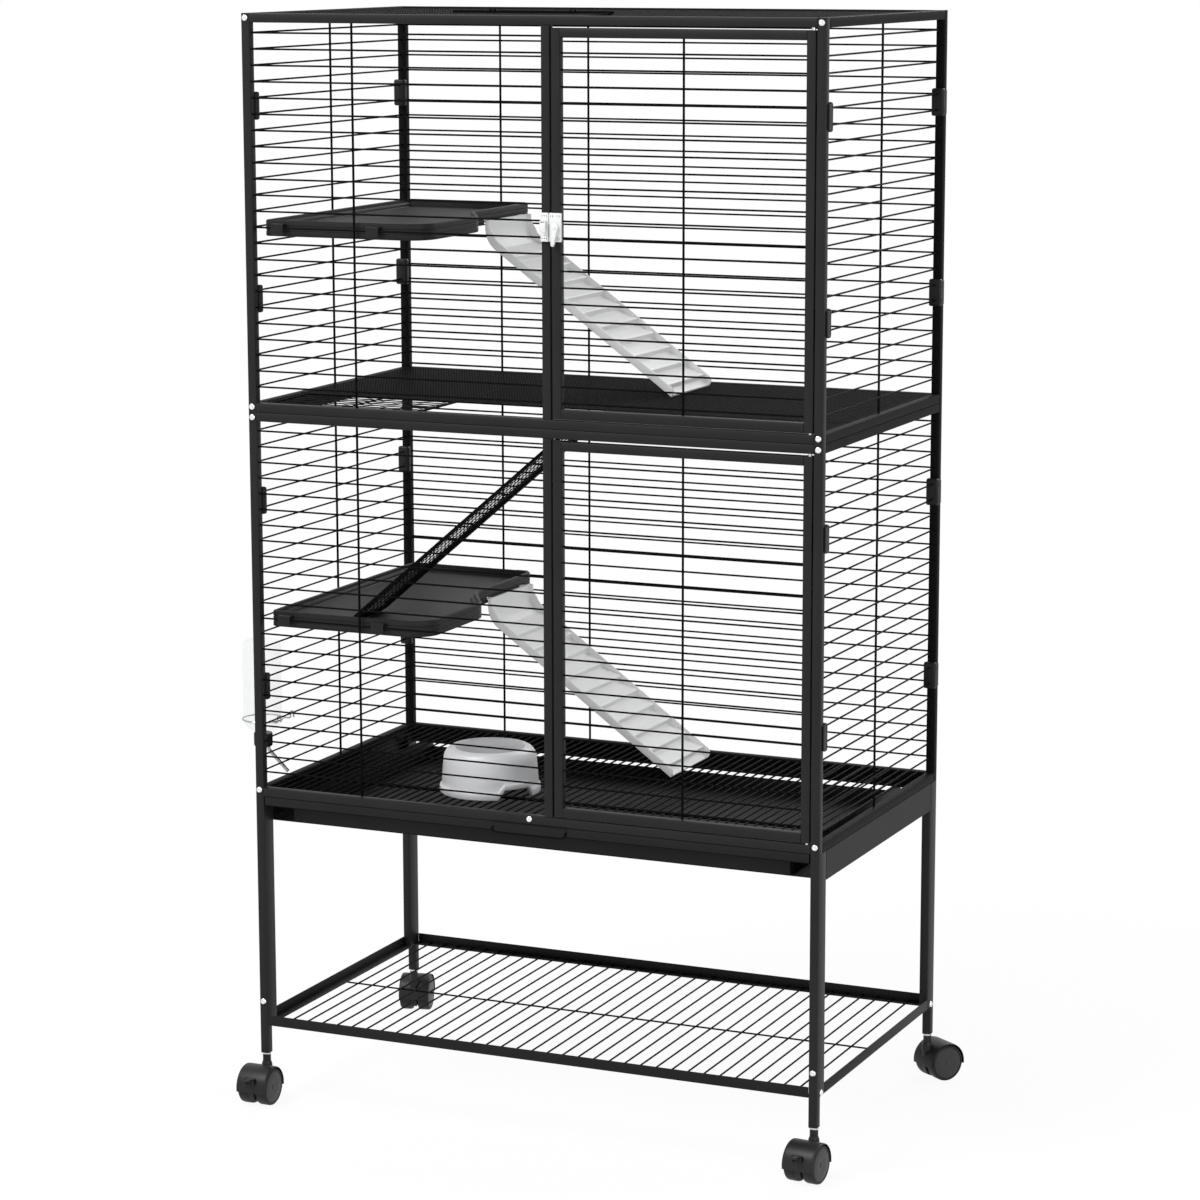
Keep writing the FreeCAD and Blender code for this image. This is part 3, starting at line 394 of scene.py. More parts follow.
def front_panel(prefix, base):
    form = Form()
    near, far = -HALF_D, -HALF_D + TUBE
    for x in (-HALF_W, HALF_W - TUBE):
        form.bar("z", (x, near, base), (x + TUBE, far, base + HEIGHT))
    form.bar("z", (POST_X - TUBE / 2, near, base + TUBE), (POST_X + TUBE / 2, far, base + HEIGHT - TUBE))
    for z in (base, base + HEIGHT - TUBE):
        form.bar("x", (TUBE - HALF_W, near, z), (HALF_W - TUBE, far, z + TUBE))
    form.done(prefix + "_front_grille", POWDER, "frame", "frame_black", prefix + "_front_panel")
    wires = Form()
    plane = -HALF_D + TUBE / 2
    for z in row_levels(base):
        wires.rod((TUBE - HALF_W - SEAT, plane, z), (POST_X - TUBE / 2 + SEAT, plane, z), WIRE)
    upright(wires, FRONT_UPRIGHT_X, plane + WIRE + UPRIGHT, base + TUBE, base + HEIGHT - TUBE)
    wires.done(prefix + "_front_wires", WIRE_COAT, "frame", "frame_black")


def rear_panel(prefix, base):
    form = Form()
    near, far = HALF_D - TUBE, HALF_D
    for x in (-HALF_W, HALF_W - TUBE):
        form.bar("z", (x, near, base), (x + TUBE, far, base + HEIGHT))
    for z in (base, base + HEIGHT - TUBE):
        form.bar("x", (TUBE - HALF_W, near, z), (HALF_W - TUBE, far, z + TUBE))
    # The rear grille tubes take the painted shade of the darker coat.
    form.done(prefix + "_rear_grille", PAINTED_SHADE_COAT, "frame", "frame_black", prefix + "_rear_panel")
    wires = Form()
    plane = HALF_D - TUBE / 2
    for z in row_levels(base):
        wires.rod((TUBE - HALF_W - SEAT, plane, z), (HALF_W - TUBE + SEAT, plane, z), WIRE)
    for x in REAR_UPRIGHTS_X:
        upright(wires, x, plane + WIRE + UPRIGHT, base + TUBE, base + HEIGHT - TUBE)
    wires.done(prefix + "_rear_wires", WIRE_COAT, "frame", "frame_black")


def side_panel(prefix, base, name, side):
    form = Form()
    outer = side * HALF_W
    inner = outer - side * TUBE
    for z in (base, base + HEIGHT - TUBE):
        form.bar("y", (min(outer, inner), TUBE - HALF_D, z), (max(outer, inner), HALF_D - TUBE, z + TUBE))
    label = "%s_%s" % (prefix, name)
    # The side grille tubes take the painted shade of the darker coat.
    form.done(label + "_grille", PAINTED_SHADE_COAT, "frame", "frame_black", label + "_panel")
    wires = Form()
    plane = (outer + inner) / 2
    for z in row_levels(base):
        wires.rod((plane, TUBE - HALF_D - SEAT, z), (plane, HALF_D - TUBE + SEAT, z), WIRE)
    upright(wires, plane - side * (WIRE + UPRIGHT), SIDE_UPRIGHT_Y, base + TUBE, base + HEIGHT - TUBE)
    wires.done(label + "_wires", WIRE_COAT, "frame", "frame_black")


def door(prefix, base):
    form = Form()
    low, high = span(prefix + "_door")
    for x in (low.x, high.x - TUBE):
        form.bar("z", (x, low.y, low.z), (x + TUBE, high.y, high.z))
    for z in (low.z, high.z - TUBE):
        form.bar("x", (low.x + TUBE, low.y, z), (high.x - TUBE, high.y, z + TUBE))
    form.done(prefix + "_door_grille", POWDER, prefix + "_door", "door_black", prefix + "_door")
    wires = Form()
    plane = low.y + TUBE / 2
    for z in row_levels(base, ROWS - 1):
        wires.rod((low.x + TUBE - SEAT, plane, z), (high.x - TUBE + SEAT, plane, z), WIRE)
    upright(wires, (low.x + high.x) / 2, plane + WIRE + UPRIGHT, low.z + TUBE, high.z - TUBE)
    wires.done(prefix + "_door_wires", WIRE_COAT, prefix + "_door", "door_black")


CLIP_ROWS = (5.5, 17.5)
CLIP_HALF = 18.0
CLIP_DEEP = 8.8
CLIP_SKIN = 2.5
CLIP_DIMPLE = [(2.6, -0.4), (2.6, 0.0), (1.7, 0.0), (1.5, -0.3)]


def panel_clips(prefix, base):
    form = Form()
    for side, axis in ((-1, "-x"), (1, "x")):
        outer = side * HALF_W
        inner = outer - side * TUBE
        left, right = sorted((outer + side * CLIP_SKIN, inner - side * CLIP_SKIN))
        flange_left, flange_right = sorted((outer, outer + side * CLIP_SKIN))
        for end in (-1, 1):
            near, far = sorted((end * (HALF_D - TUBE), end * (HALF_D - TUBE - CLIP_DEEP)))
            flange_near, flange_far = sorted((end * (HALF_D - TUBE / 2), end * (HALF_D - TUBE - 2)))
            for row in CLIP_ROWS:
                z = base + FIRST_ROW + ROW_PITCH * row
                form.block((left, near, z - CLIP_HALF), (right, far, z + CLIP_HALF), 2.6, 3)
                form.block((flange_left, flange_near, z - CLIP_HALF + 2),
                           (flange_right, flange_far, z + CLIP_HALF - 2), 1.0)
                for step in (-0.5, 0.5):
                    y = end * (HALF_D - TUBE - CLIP_DEEP / 2)
                    spot = (outer + side * CLIP_SKIN, y, z + step * ROW_PITCH)
                    form.turned(CLIP_DIMPLE, spot, axis, 16)
    form.done(prefix + "_corner_clips", CLIP, "frame", "clip_black", prefix + "_panel_clips")


def bends(corners, steps=6):
    """An outline with each corner (x, y, radius) rounded by an arc of equal steps."""
    points = []
    count = len(corners)
    for index, (x, y, radius) in enumerate(corners):
        here = Vector((x, y))
        back = (Vector(corners[index - 1][:2]) - here).normalized()
        ahead = (Vector(corners[(index + 1) % count][:2]) - here).normalized()
        half = back.angle(ahead) / 2
        middle = here + (back + ahead).normalized() * radius / math.sin(half)
        start = here + back * radius / math.tan(half) - middle
        end = here + ahead * radius / math.tan(half) - middle
        turn = start.angle_signed(end)
        for step in range(steps + 1):
            angle = -turn * step / steps
            points.append((middle.x + start.x * math.cos(angle) - start.y * math.sin(angle),
                           middle.y + start.x * math.sin(angle) + start.y * math.cos(angle)))
    return points


SHELF_FRONT, SHELF_REAR = -211.0, 200.0


def platform_outline(inset):
    left, right, edge = -380.0 + inset, -148.0 - inset, -190.0 - inset
    front, rear = SHELF_FRONT + inset, SHELF_REAR - inset
    return bends([
        (left, front, max(9 - inset, 2)), (right, front, 35 - inset), (right, -50.0, 45 - inset),
        (edge, 20.0, 45 + inset), (edge, rear, 13 - min(inset, 11)), (left, rear, max(9 - inset, 2)),
    ])


HOOK_LEFT, HOOK_RIGHT = -364.0, -226.0
HOOK_WIDE = 18.0
HOOK_THICK = 4.4
HOOK_DROP = 9.5
HOOK_REACH = 220.2
HOOK_STUD = [(1.9, 0.0), (1.9, 0.2), (1.5, 0.2), (1.3, 0.05)]


def platform(prefix, base):
    low, high = span(prefix + "_platform")
    floor = high.z - 10
    form = Form()
    steps = [
        (5.2, floor - 3), (5.2, low.z + 0.8), (4.4, low.z), (1.2, low.z),
        (0.35, low.z + 0.4), (0, low.z + 1.2),
        (0, low.z + 6.2), (0.7, low.z + 6.7), (0.7, low.z + 7.6), (0, low.z + 8.1),
        (0, low.z + 12.6), (0.7, low.z + 13.1), (0.7, low.z + 14.0), (0, low.z + 14.5),
        (0, high.z - 2.0), (0.5, high.z - 0.7), (1.6, high.z), (4.0, high.z), (5.0, high.z - 0.7),
        (5.6, high.z - 4.6), (6.4, high.z - 5.4), (9.4, high.z - 5.6), (10.4, high.z - 6.4),
        (10.9, floor + 0.9), (12.0, floor),
    ]
    form.loft([[(x, y, z) for x, y in platform_outline(inset)] for inset, z in steps])
    item = form.done(prefix + "_shelf", PLATFORM, "frame", "platform_black", prefix + "_platform")
    pockets = Form()
    ramp_low, ramp_high = span(prefix + "_ramp")
    for y in (ramp_low.y + 8, ramp_high.y - 22):
        pockets.block((-199.0, y, low.z + 1), (-187.0, y + 14, low.z + 8.5), 0.3, 1)
    carve(item, pockets)
    hooks = Form()
    level = base + FIRST_ROW + ROW_PITCH * 10 + WIRE
    for x in (HOOK_LEFT, HOOK_RIGHT):
        for inside, out, axis in ((SHELF_FRONT, -1, "-y"), (SHELF_REAR, 1, "y")):
            wire = out * HOOK_REACH
            near, far = sorted((inside, wire))
            hooks.block((x, near, level), (x + HOOK_WIDE, far, level + HOOK_THICK), 0.9)
            near, far = sorted((wire, wire + out * 1.8))
            hooks.block((x, near, level - HOOK_DROP), (x + HOOK_WIDE, far, level + HOOK_THICK), 0.8)
            for share in (0.3, 0.7):
                spot = (x + share * HOOK_WIDE, wire + out * 1.6, level + 1.6)
                hooks.turned(HOOK_STUD, spot, axis, 16)
    hooks.done(prefix + "_shelf_hooks", CLIP, "frame", "clip_black", prefix + "_platform_clips")


def carve(item, form):
    """Cuts the form out of a finished piece."""
    mesh = bpy.data.meshes.new("tool")
    mesh.from_pydata([point * MM for point in form.points], [], form.faces)
    tool = bpy.data.objects.new("tool", mesh)
    scene.collection.objects.link(tool)
    change = item.modifiers.new("carve", "BOOLEAN")
    change.operation = "DIFFERENCE"
    change.solver = "EXACT"
    change.object = tool
    bpy.context.view_layer.update()
    result = bpy.data.meshes.new_from_object(item.evaluated_get(bpy.context.evaluated_depsgraph_get()))
    item.modifiers.clear()
    old = item.data
    item.data = result
    result.name = item.name
    result.set_sharp_from_angle(angle=math.radians(34))
    bpy.data.objects.remove(tool)
    bpy.data.meshes.remove(mesh)
    bpy.data.meshes.remove(old)


RAMP_SLOPE = math.radians(35.9)
RAMP_BEND = 36.0
RAMP_LIP = 9.0
RAMP_WALL = 11.5
RAMP_LENGTH = 315.5
RAMP_AXIS_X = -185.8
RAMP_AXIS_RISE = 235.1


def ramp(prefix, base):
    low, high = span(prefix + "_ramp")
    axis_x = RAMP_AXIS_X
    axis_z = base + RAMP_AXIS_RISE
    width = high.y - low.y
    stations = [((0.0, 1.0), (1.0, 0.0), 6.4), ((0.0, -RAMP_LIP), (1.0, 0.0), 7.2)]
    steps = 9
    for step in range(1, steps + 1):
        angle = (math.pi / 2 - RAMP_SLOPE) * step / steps
        normal = (math.cos(angle), math.sin(angle))
        spot = (RAMP_BEND * (1 - normal[0]), -RAMP_LIP - RAMP_BEND * normal[1])
        stations.append((spot, normal, min(RAMP_WALL, 7.2 + 1.4 * step)))
    start, normal, tall = stations[-1]
    along = (math.cos(RAMP_SLOPE), -math.sin(RAMP_SLOPE))
    for run, tall in ((60.0, RAMP_WALL), (RAMP_LENGTH - 8, RAMP_WALL), (RAMP_LENGTH - 5, 10.9),
                      (RAMP_LENGTH - 2.4, 9.2), (RAMP_LENGTH - 0.6, 6.5), (RAMP_LENGTH, 3.6)):
        stations.append(((start[0] + run * along[0], start[1] + run * along[1]), normal, tall))
    rings = []
    for (x, z), (across_x, across_z), tall in stations:
        section = [
            (2.5, 0), (width - 2.5, 0), (width - 0.7, 0.7), (width, 2.5), (width, tall - 0.8),
            (width - 0.8, tall), (width - 2.2, tall), (width - 3, tall - 0.8), (width - 3.4, 3.6),
            (width - 4.2, 3), (4.2, 3), (3.4, 3.6), (3, tall - 0.8), (2.2, tall), (0.8, tall), (0, tall - 0.8),
            (0, 2.5), (0.7, 0.7),
        ]
        rings.append([(axis_x + x + w * across_x, low.y + v, axis_z + z + w * across_z) for v, w in section])
    form = Form()
    form.loft(rings)
    teeth = 10
    pitch = (RAMP_LENGTH - 10) / teeth
    for index in range(teeth):
        profile = [(0, 2.6), (0.78, 9.3), (0.84, 9.9), (0.89, 9.5), (0.93, 2.6)]
        ring = []
        for share, w in profile:
            run = (index + share) * pitch
            ring.append((axis_x + start[0] + run * along[0] + w * normal[0],
                         axis_z + start[1] + run * along[1] + w * normal[1]))
        form.loft([[(x, y, z) for x, z in ring] for y in (low.y + 2.9, high.y - 2.9)])
    for y in (low.y + 10, high.y - 20):
        form.block((axis_x - 6.2, y, axis_z - 1), (axis_x + 1, y + 10, axis_z + 1), 0.4)
    form.done(prefix + "_stepped_ramp", RAMP, prefix + "_ramp", "ramp_white", prefix + "_ramp")


def lattice(form, put, long, wide, step_u, step_v, strand, thick, hole=None):
    """Expanded mesh: two families of crossing strands over a rectangle, less a hole (u0, u1, v0, v1)."""
    for order, lean in enumerate((step_v / step_u, -step_v / step_u)):
        side = Vector((-lean, 1.0)).normalized() * strand / 2
        first = min(0.0, -lean * long)
        last = wide + max(0.0, -lean * long)
        bottom = 0.12 * order
        for count in range(int((last - first) / step_v) + 1):
            offset = first + (count + 0.5) * step_v
            ends = sorted((-offset / lean, (wide - offset) / lean))
            pieces = [(max(0.0, ends[0]), min(long, ends[1]))]
            if hole:
                limits = sorted(((hole[2] - offset) / lean, (hole[3] - offset) / lean))
                gap = (max(hole[0], limits[0]), min(hole[1], limits[1]))
                if gap[1] > gap[0]:
                    pieces = [(pieces[0][0], gap[0]), (gap[1], pieces[0][1])]
            for u0, u1 in pieces:
                if u1 - u0 < 1.0:
                    continue
                corners = []
                for u, sign in ((u0, -1), (u1, -1), (u1, 1), (u0, 1)):
                    corners.append((u + sign * side.x, offset + lean * u + sign * side.y))
                form.slab(corners, put, bottom, bottom + thick - 0.24)


def drawn_rows(form, put, long, wide, rows, step, strand, bond, thick):
    """Expanded mesh drawn out in rows: crossing strands, with a wide bond along the edge of each row."""
    pitch = wide / rows
    lattice(form, put, long, wide, long / round(long / step), 2 * pitch, strand, thick)
    for row in range(rows + 1):
        near = max(0.0, row * pitch - bond / 2)
        far = min(wide, row * pitch + bond / 2)
        form.slab([(0.0, near), (long, near), (long, far), (0.0, far)], put, 0.0, thick)


FINE = {"step_u": 8.0, "step_v": 4.0, "strand": 1.9, "thick": 1.8}
WIDE = {"rows": 6, "step": 55.0, "strand": 1.3, "bond": 6.6, "thick": 0.6}
RAMP_MESH = {"rows": 5, "step": 7.3, "strand": 1.1, "bond": 3.8, "thick": 0.6}
BAND = 5.0
SKIN = 2.0
WIDE_MESH_LEFT = -375.0


def mesh_plate(name, level, node, wide_left=None):
    """A sheet with the hatch cut out of it; its mesh is wider from wide_left to the hatch."""
    low, high = span(node)
    left, right, front, rear = HATCH
    form = Form()

    def put(u, v, w):
        return (low.x + v, low.y + u, level - SKIN + w)

    def beside(u, v, w):
        return (wide_left + u, front + v, level - SKIN + w)

    hole_left = left if wide_left is None else wide_left
    hole = (front - low.y, rear - low.y, hole_left - low.x, right - low.x)
    lattice(form, put, high.y - low.y, high.x - low.x, hole=hole, **FINE)
    if wide_left is not None:
        drawn_rows(form, beside, left - wide_left, rear - front, **WIDE)
    for x0, x1 in ((low.x, low.x + BAND), (high.x - BAND, high.x)):
        form.bar("y", (x0, low.y, level - SKIN), (x1, high.y, level), 0.4, 1)
    for y0, y1 in ((low.y, low.y + BAND), (high.y - BAND, high.y), (rear, rear + BAND)):
        form.bar("x", (low.x, y0, level - SKIN), (high.x, y1, level), 0.4, 1)
    for x0, x1 in ((left - BAND, left), (right, right + BAND)):
        form.bar("y", (x0, low.y, level - SKIN), (x1, high.y, level), 0.4, 1)
    form.done(name, MESH_COAT, "frame", "mesh_black", node)


MESH_LEAN = math.radians(40.5)
MESH_LONG = 426.3
MESH_AXIS_X, MESH_AXIS_Z = 56.0, 939.5


def mesh_ramp():
    low, high = span("mesh_ramp")
    lean = MESH_LEAN
    long = MESH_LONG
    along = Vector((-math.cos(lean), 0.0, -math.sin(lean)))
    below = Vector((math.sin(lean), 0.0, -math.cos(lean)))
    start = Vector((MESH_AXIS_X, low.y, MESH_AXIS_Z))
    wide = high.y - low.y

    def put(u, v, w):
        return start + u * along + Vector((0.0, v, 0.0)) + w * below

    form = Form()
    drawn_rows(form, lambda u, v, w: put(u + 8, v + 9, w), long - 22, wide - 18, **RAMP_MESH)
    for v0, v1, cut0, cut1, edge, lip in ((0.0, 10.0, 8, 0, 0.0, 1.5),
                                          (wide - 10, wide, 0, 8, wide - 2.2, 5.6)):
        form.slab([(8, v0), (long - 8, v0), (long, v0 + cut0), (long, v1 - cut1), (long - 8, v1), (8, v1)],
                  put, 0.0, 2.0)
        form.slab([(10, edge), (long - 10, edge), (long - 10, edge + 2.2), (10, edge + 2.2)], put, -lip, 0.1)
    form.slab([(long - 14, 6), (long, 8), (long, wide - 8), (long - 14, wide - 6)], put, 0.0, 2.0)
    form.slab([(6, 3), (11, 3), (11, wide - 3), (6, wide - 3)], put, 0.0, 2.0)
    for v0, v1 in ((0.0, 8.0), (20.0, wide - 20), (wide - 8, wide)):
        form.slab([(0, v0 + 0.5), (9, v0 + 0.5), (9, v1 - 0.5), (0, v1 - 0.5)], put, -0.4, 1.6)
    form.rod(put(0, 0, 0), put(0, wide, 0), 2.9, 20)
    form.done("mesh_ramp_sheet", MESH_COAT, "mesh_ramp", "mesh_black", "mesh_ramp")


def top_hatch():
    low, high = span("top_hatch")
    seat = TOP_MESH
    rear = HATCH[3] + 2
    form = Form()

    def put(u, v, w):
        return (low.x + v, low.y + u, seat + w)

    lattice(form, put, rear - low.y, high.x - low.x, **FINE)
    for x0, x1 in ((low.x, low.x + 5), (high.x - 5, high.x)):
        form.bar("y", (x0, low.y, seat), (x1, rear, seat + 2), 0.4, 1)
    for y0, y1 in ((low.y, low.y + 5), (rear - 5, rear)):
        form.bar("x", (low.x, y0, seat), (high.x, y1, seat + 2), 0.4, 1)
    for share in (0.02, 0.45, 0.92):
        x = low.x + share * (high.x - low.x)
        form.block((x, rear - 6, seat + 0.1), (x + 12, rear + 7, seat + 2), 0.5)
    hinge_y = rear + 7
    form.rod((low.x, hinge_y, seat + 3), (high.x, hinge_y, seat + 3), 2.0, 16)
    form.done("hatch_lid", MESH_COAT, "top_hatch", "mesh_black", "top_hatch")
    eyes = Form()
    for share in (0.25, 0.75):
        middle = low.x + share * (high.x - low.x)
        for x in (middle - 3, middle + 3):
            path = [(x, hinge_y - 4.9, seat + 0.4), (x, hinge_y - 3.6, seat + 1.5)]
            for step in range(7):
                angle = math.pi * (1 - step / 6)
                path.append((x, hinge_y + 3.1 * math.cos(angle), seat + 3 + 3.1 * math.sin(angle)))
            path += [(x, hinge_y + 3.6, seat + 1.5), (x, hinge_y + 4.9, seat + 0.4)]
            eyes.sweep(path, 0.85)
    eyes.done("hatch_eyes", MESH_COAT, "frame", "mesh_black", "top_hatch_eyes")


def floor_grid():
    low, high = span("lower_floor_grid")
    form = Form()
    count = 59
    for index in range(count):
        x = low.x + (high.x - low.x) * (index + 0.9) / (count + 0.8)
        form.rod((x, low.y - 0.5, high.z - WIRE), (x, high.y + 0.5, high.z - WIRE), WIRE)
    for y in (-0.6 * HALF_D, 0.6 * HALF_D):
        form.rod((low.x - 0.5, y, low.z + WIRE), (high.x + 0.5, y, low.z + WIRE), WIRE)
    form.done("floor_wires", WIRE_COAT, "frame", "grid_black", "lower_floor_grid")


def shelf():
    low, high = span("shelf_wires")
    form = Form()
    count = 34
    for index in range(count):
        x = (2 * index + 2 - count - 1) * (HALF_W - TUBE) / (count + 1)
        form.rod((x, low.y, high.z - WIRE), (x, high.y, high.z - WIRE), WIRE)
    form.rod((low.x, 0, low.z + WIRE), (high.x, 0, low.z + WIRE), WIRE)
    form.done("shelf_rods", WIRE_COAT, "frame", "grid_black", "shelf_wires")


def bolt_heads():
    dome = [(4.2, 0), (4.2, 0.7), (3.7, 1.7), (2.7, 2.4), (1.5, 2.6), (1.1, 2.3), (0.6, 2.1)]
    for name, axis, y in (("front", "-y", -HALF_D), ("rear", "y", HALF_D)):
        form = Form()
        for z in (1444.0, BASES["upper"] + 7.2, BASES["upper"] - 6.6, BASES["lower"] + 9.0, 138.0):
            for x in (-HALF_W + TUBE / 2, HALF_W - TUBE / 2):
                form.turned(dome, (x, y, z), axis, 24)
        form.done(name + "_bolt_heads", ZINC, "frame", "bolt_steel", name + "_bolts")
    form = Form()
    for axis, x in (("-x", -HALF_W), ("x", HALF_W)):
        for y in (-212.0, 212.0):
            form.turned(dome, (x, y, 109.5), axis, 24)
    form.done("side_bolt_heads", ZINC, "frame", "bolt_steel", "side_bolts")
    form = Form()
    low, high = span("tray_screw")
    form.turned(dome, ((low.x + high.x) / 2, high.y, (low.z + high.z) / 2), "-y", 24)
    form.done("tray_screw_head", ZINC, "frame", "bolt_steel", "tray_screw")


LATCH_SCREW = [(2.0, -0.2), (2.0, 0.3), (1.6, 0.5), (1.0, 0.1), (0.5, 0.05)]
LATCH_REACH = 1.6


def latch():
    face = -HALF_D
    for name, node, body in (("latch_keeper_plate", "latch_keeper", "frame"),
                             ("latch_base_plate", "latch_base", "upper_door")):
        low, high = span(node)
        form = Form()
        middle = (low.z + high.z) / 2
        left = low.x if body == "frame" else low.x - LATCH_REACH
        form.block((left, face - 4, low.z), (high.x, face, high.z), 0.8)
        screws = Form()
        for x in (left + 4, high.x - 4):
            for z in (low.z + 4, high.z - 4):
                screws.turned(LATCH_SCREW, (x, face - 3.9, z), "-y", 20)
        screws.done(name + "_screws", CHROME, body, "pin_steel")
        if body == "frame":
            form.block((POST_X - 4, face - 10, middle + 5.4), (POST_X + 4, face - 3.6, middle + 8.8), 0.9)
            form.block((POST_X - 4, face - 10, middle - 6), (POST_X + 4, face - 8.5, middle + 8), 0.6)
        else:
            form.turned([(2.5, 0), (2.5, 4.6), (2.1, 5.0)], (low.x + 7, face - 4, middle), "-y", 24)
        form.done(name, LATCH, body, "latch_white", node)
    low, high = span("latch_lever")
    pivot = ((low.x + high.x) / 2, high.z - 5.5)
    outline = []
    for step in range(13):
        angle = math.radians(-8 + 196 * step / 12)
        outline.append((pivot[0] + 5.4 * math.cos(angle), pivot[1] + 5.4 * math.sin(angle)))
    end_z = low.z + 2.6
    for step in range(9):
        angle = math.pi + math.pi * step / 8
        outline.append((pivot[0] - 2.6 + 2.5 * math.cos(angle), end_z + 2.5 * math.sin(angle)))
    form = Form()
    rings = []
    for shrink, y in ((0.75, high.y), (1.0, high.y - 0.9), (1.0, low.y + 1.2), (0.72, low.y)):
        middle = (pivot[0], (pivot[1] + end_z) / 2)
        rings.append([(middle[0] + (x - middle[0]) * shrink, y,
                       middle[1] + (z - middle[1]) * (0.5 + 0.5 * shrink)) for x, z in outline])
    form.loft(rings)
    form.done("latch_drop_lever", LATCH, "latch_lever", "latch_white", "latch_lever")


TRAY_CLEAR = 0.15
TRAY_HALF = 354.5
LIP_LEFT, LIP_RIGHT = -52.0, 54.0


def tray():
    low, high = span("tray")
    bottom = low.z + TRAY_CLEAR
    left, right = -TRAY_HALF, TRAY_HALF
    front = -HALF_D + 20
    rear = HALF_D - 16
    metal = 1.5
    top = bottom + 33
    form = Form()
    form.block((left, front, bottom), (right, rear, bottom + metal), 0.4, 1)
    form.block((left, front, bottom), (right, front + metal, top), 0.5)
    form.block((left, rear - metal, bottom), (right, rear, bottom + 19), 0.5)
    for x0, x1 in ((left, left + metal), (right - metal, right)):
        form.block((x0, front, bottom), (x1, rear, top), 0.5)
    band = bottom + 24.3
    form.block((low.x, -HALF_D, band), (high.x, -HALF_D + metal, band + 11.2), 0.5)
    form.block((left, -HALF_D + 0.6, band), (right, front + 0.6, band + metal), 0.4, 1)
    outline = bends([(LIP_LEFT, band + 10.5, 1.5), (LIP_LEFT, band - 2.8, 5.0),
                     (LIP_RIGHT, band - 2.8, 5.0), (LIP_RIGHT, band + 10.5, 1.5)], 4)
    form.slab(outline, lambda u, v, w: (u, w, v), low.y + 1.4, -HALF_D + 0.4)
    form.done("tray_pan", SHEET_COAT, "tray", "sheet_black", "tray")
    # Painted shadow: thin rods in the darkest black coat run along the lower edge of the front band and round
    # the lower edge of the lip, standing for the shadow lines under them.
    painted_shadow_line = Form()
    painted_shadow_line.rod((low.x, -HALF_D + 0.9, band), (high.x, -HALF_D + 0.9, band), 0.9)
    lip_shadow_path = [(-48.5, 5.5), (-50.6, 2.0), (-50.0, -1.0), (-46.0, -2.2),
            (46.0, -2.2), (50.5, -1.2), (53.0, 2.0), (53.2, 5.5)]
    painted_shadow_line.sweep([(x, low.y + 1.2, band + rise) for x, rise in lip_shadow_path], 1.1, 10)
    painted_shadow_line.done("tray_painted_shadow_line", WIRE_COAT, "tray", "sheet_black")


LEG_DEEP = 26.0
SHELF_LEVEL = 105.0
LEG_FOOT = 66.0


def stand():
    form = Form()
    for x in (-HALF_W, HALF_W - TUBE):
        for near, foot in ((-HALF_D, -HALF_D), (HALF_D - LEG_DEEP, HALF_D - TUBE)):
            form.bar("z", (x, near, SHELF_LEVEL), (x + TUBE, near + LEG_DEEP, STAND_TOP))
            form.bar("z", (x, foot, LEG_FOOT), (x + TUBE, foot + TUBE, SHELF_LEVEL))
    form.done("stand_posts", POWDER, "frame", "stand_black", "stand_legs")
    form = Form()
    form.bar("x", (TUBE - HALF_W, HALF_D - TUBE, STAND_TOP - TUBE), (HALF_W - TUBE, HALF_D, STAND_TOP))
    # The rear stand rail takes the painted shade of the darker coat.
    form.done("stand_back_rail", PAINTED_SHADE_COAT, "frame", "stand_black", "stand_rear_rail")
    form = Form()
    level, metal, lip = SHELF_LEVEL, 1.5, 14.0
    for face, inner in ((-HALF_D, 1), (HALF_D, -1)):
        form.block((TUBE - HALF_W, min(face, face + inner * metal), level),
                   (HALF_W - TUBE, max(face, face + inner * metal), level + lip), 0.5)
        form.block((TUBE - HALF_W, min(face + inner * 0.4, face + inner * lip), level),
                   (HALF_W - TUBE, max(face + inner * 0.4, face + inner * lip), level + metal), 0.5)
    for face, inner in ((-HALF_W, 1), (HALF_W, -1)):
        form.block((min(face, face + inner * metal), LEG_DEEP - HALF_D, level),
                   (max(face, face + inner * metal), HALF_D - LEG_DEEP, level + lip), 0.5)
        form.block((min(face + inner * 0.4, face + inner * lip), LEG_DEEP - HALF_D, level),
                   (max(face + inner * 0.4, face + inner * lip), HALF_D - LEG_DEEP, level + metal), 0.5)
    form.done("shelf_angles", SHEET_COAT, "frame", "sheet_black", "shelf_frame")


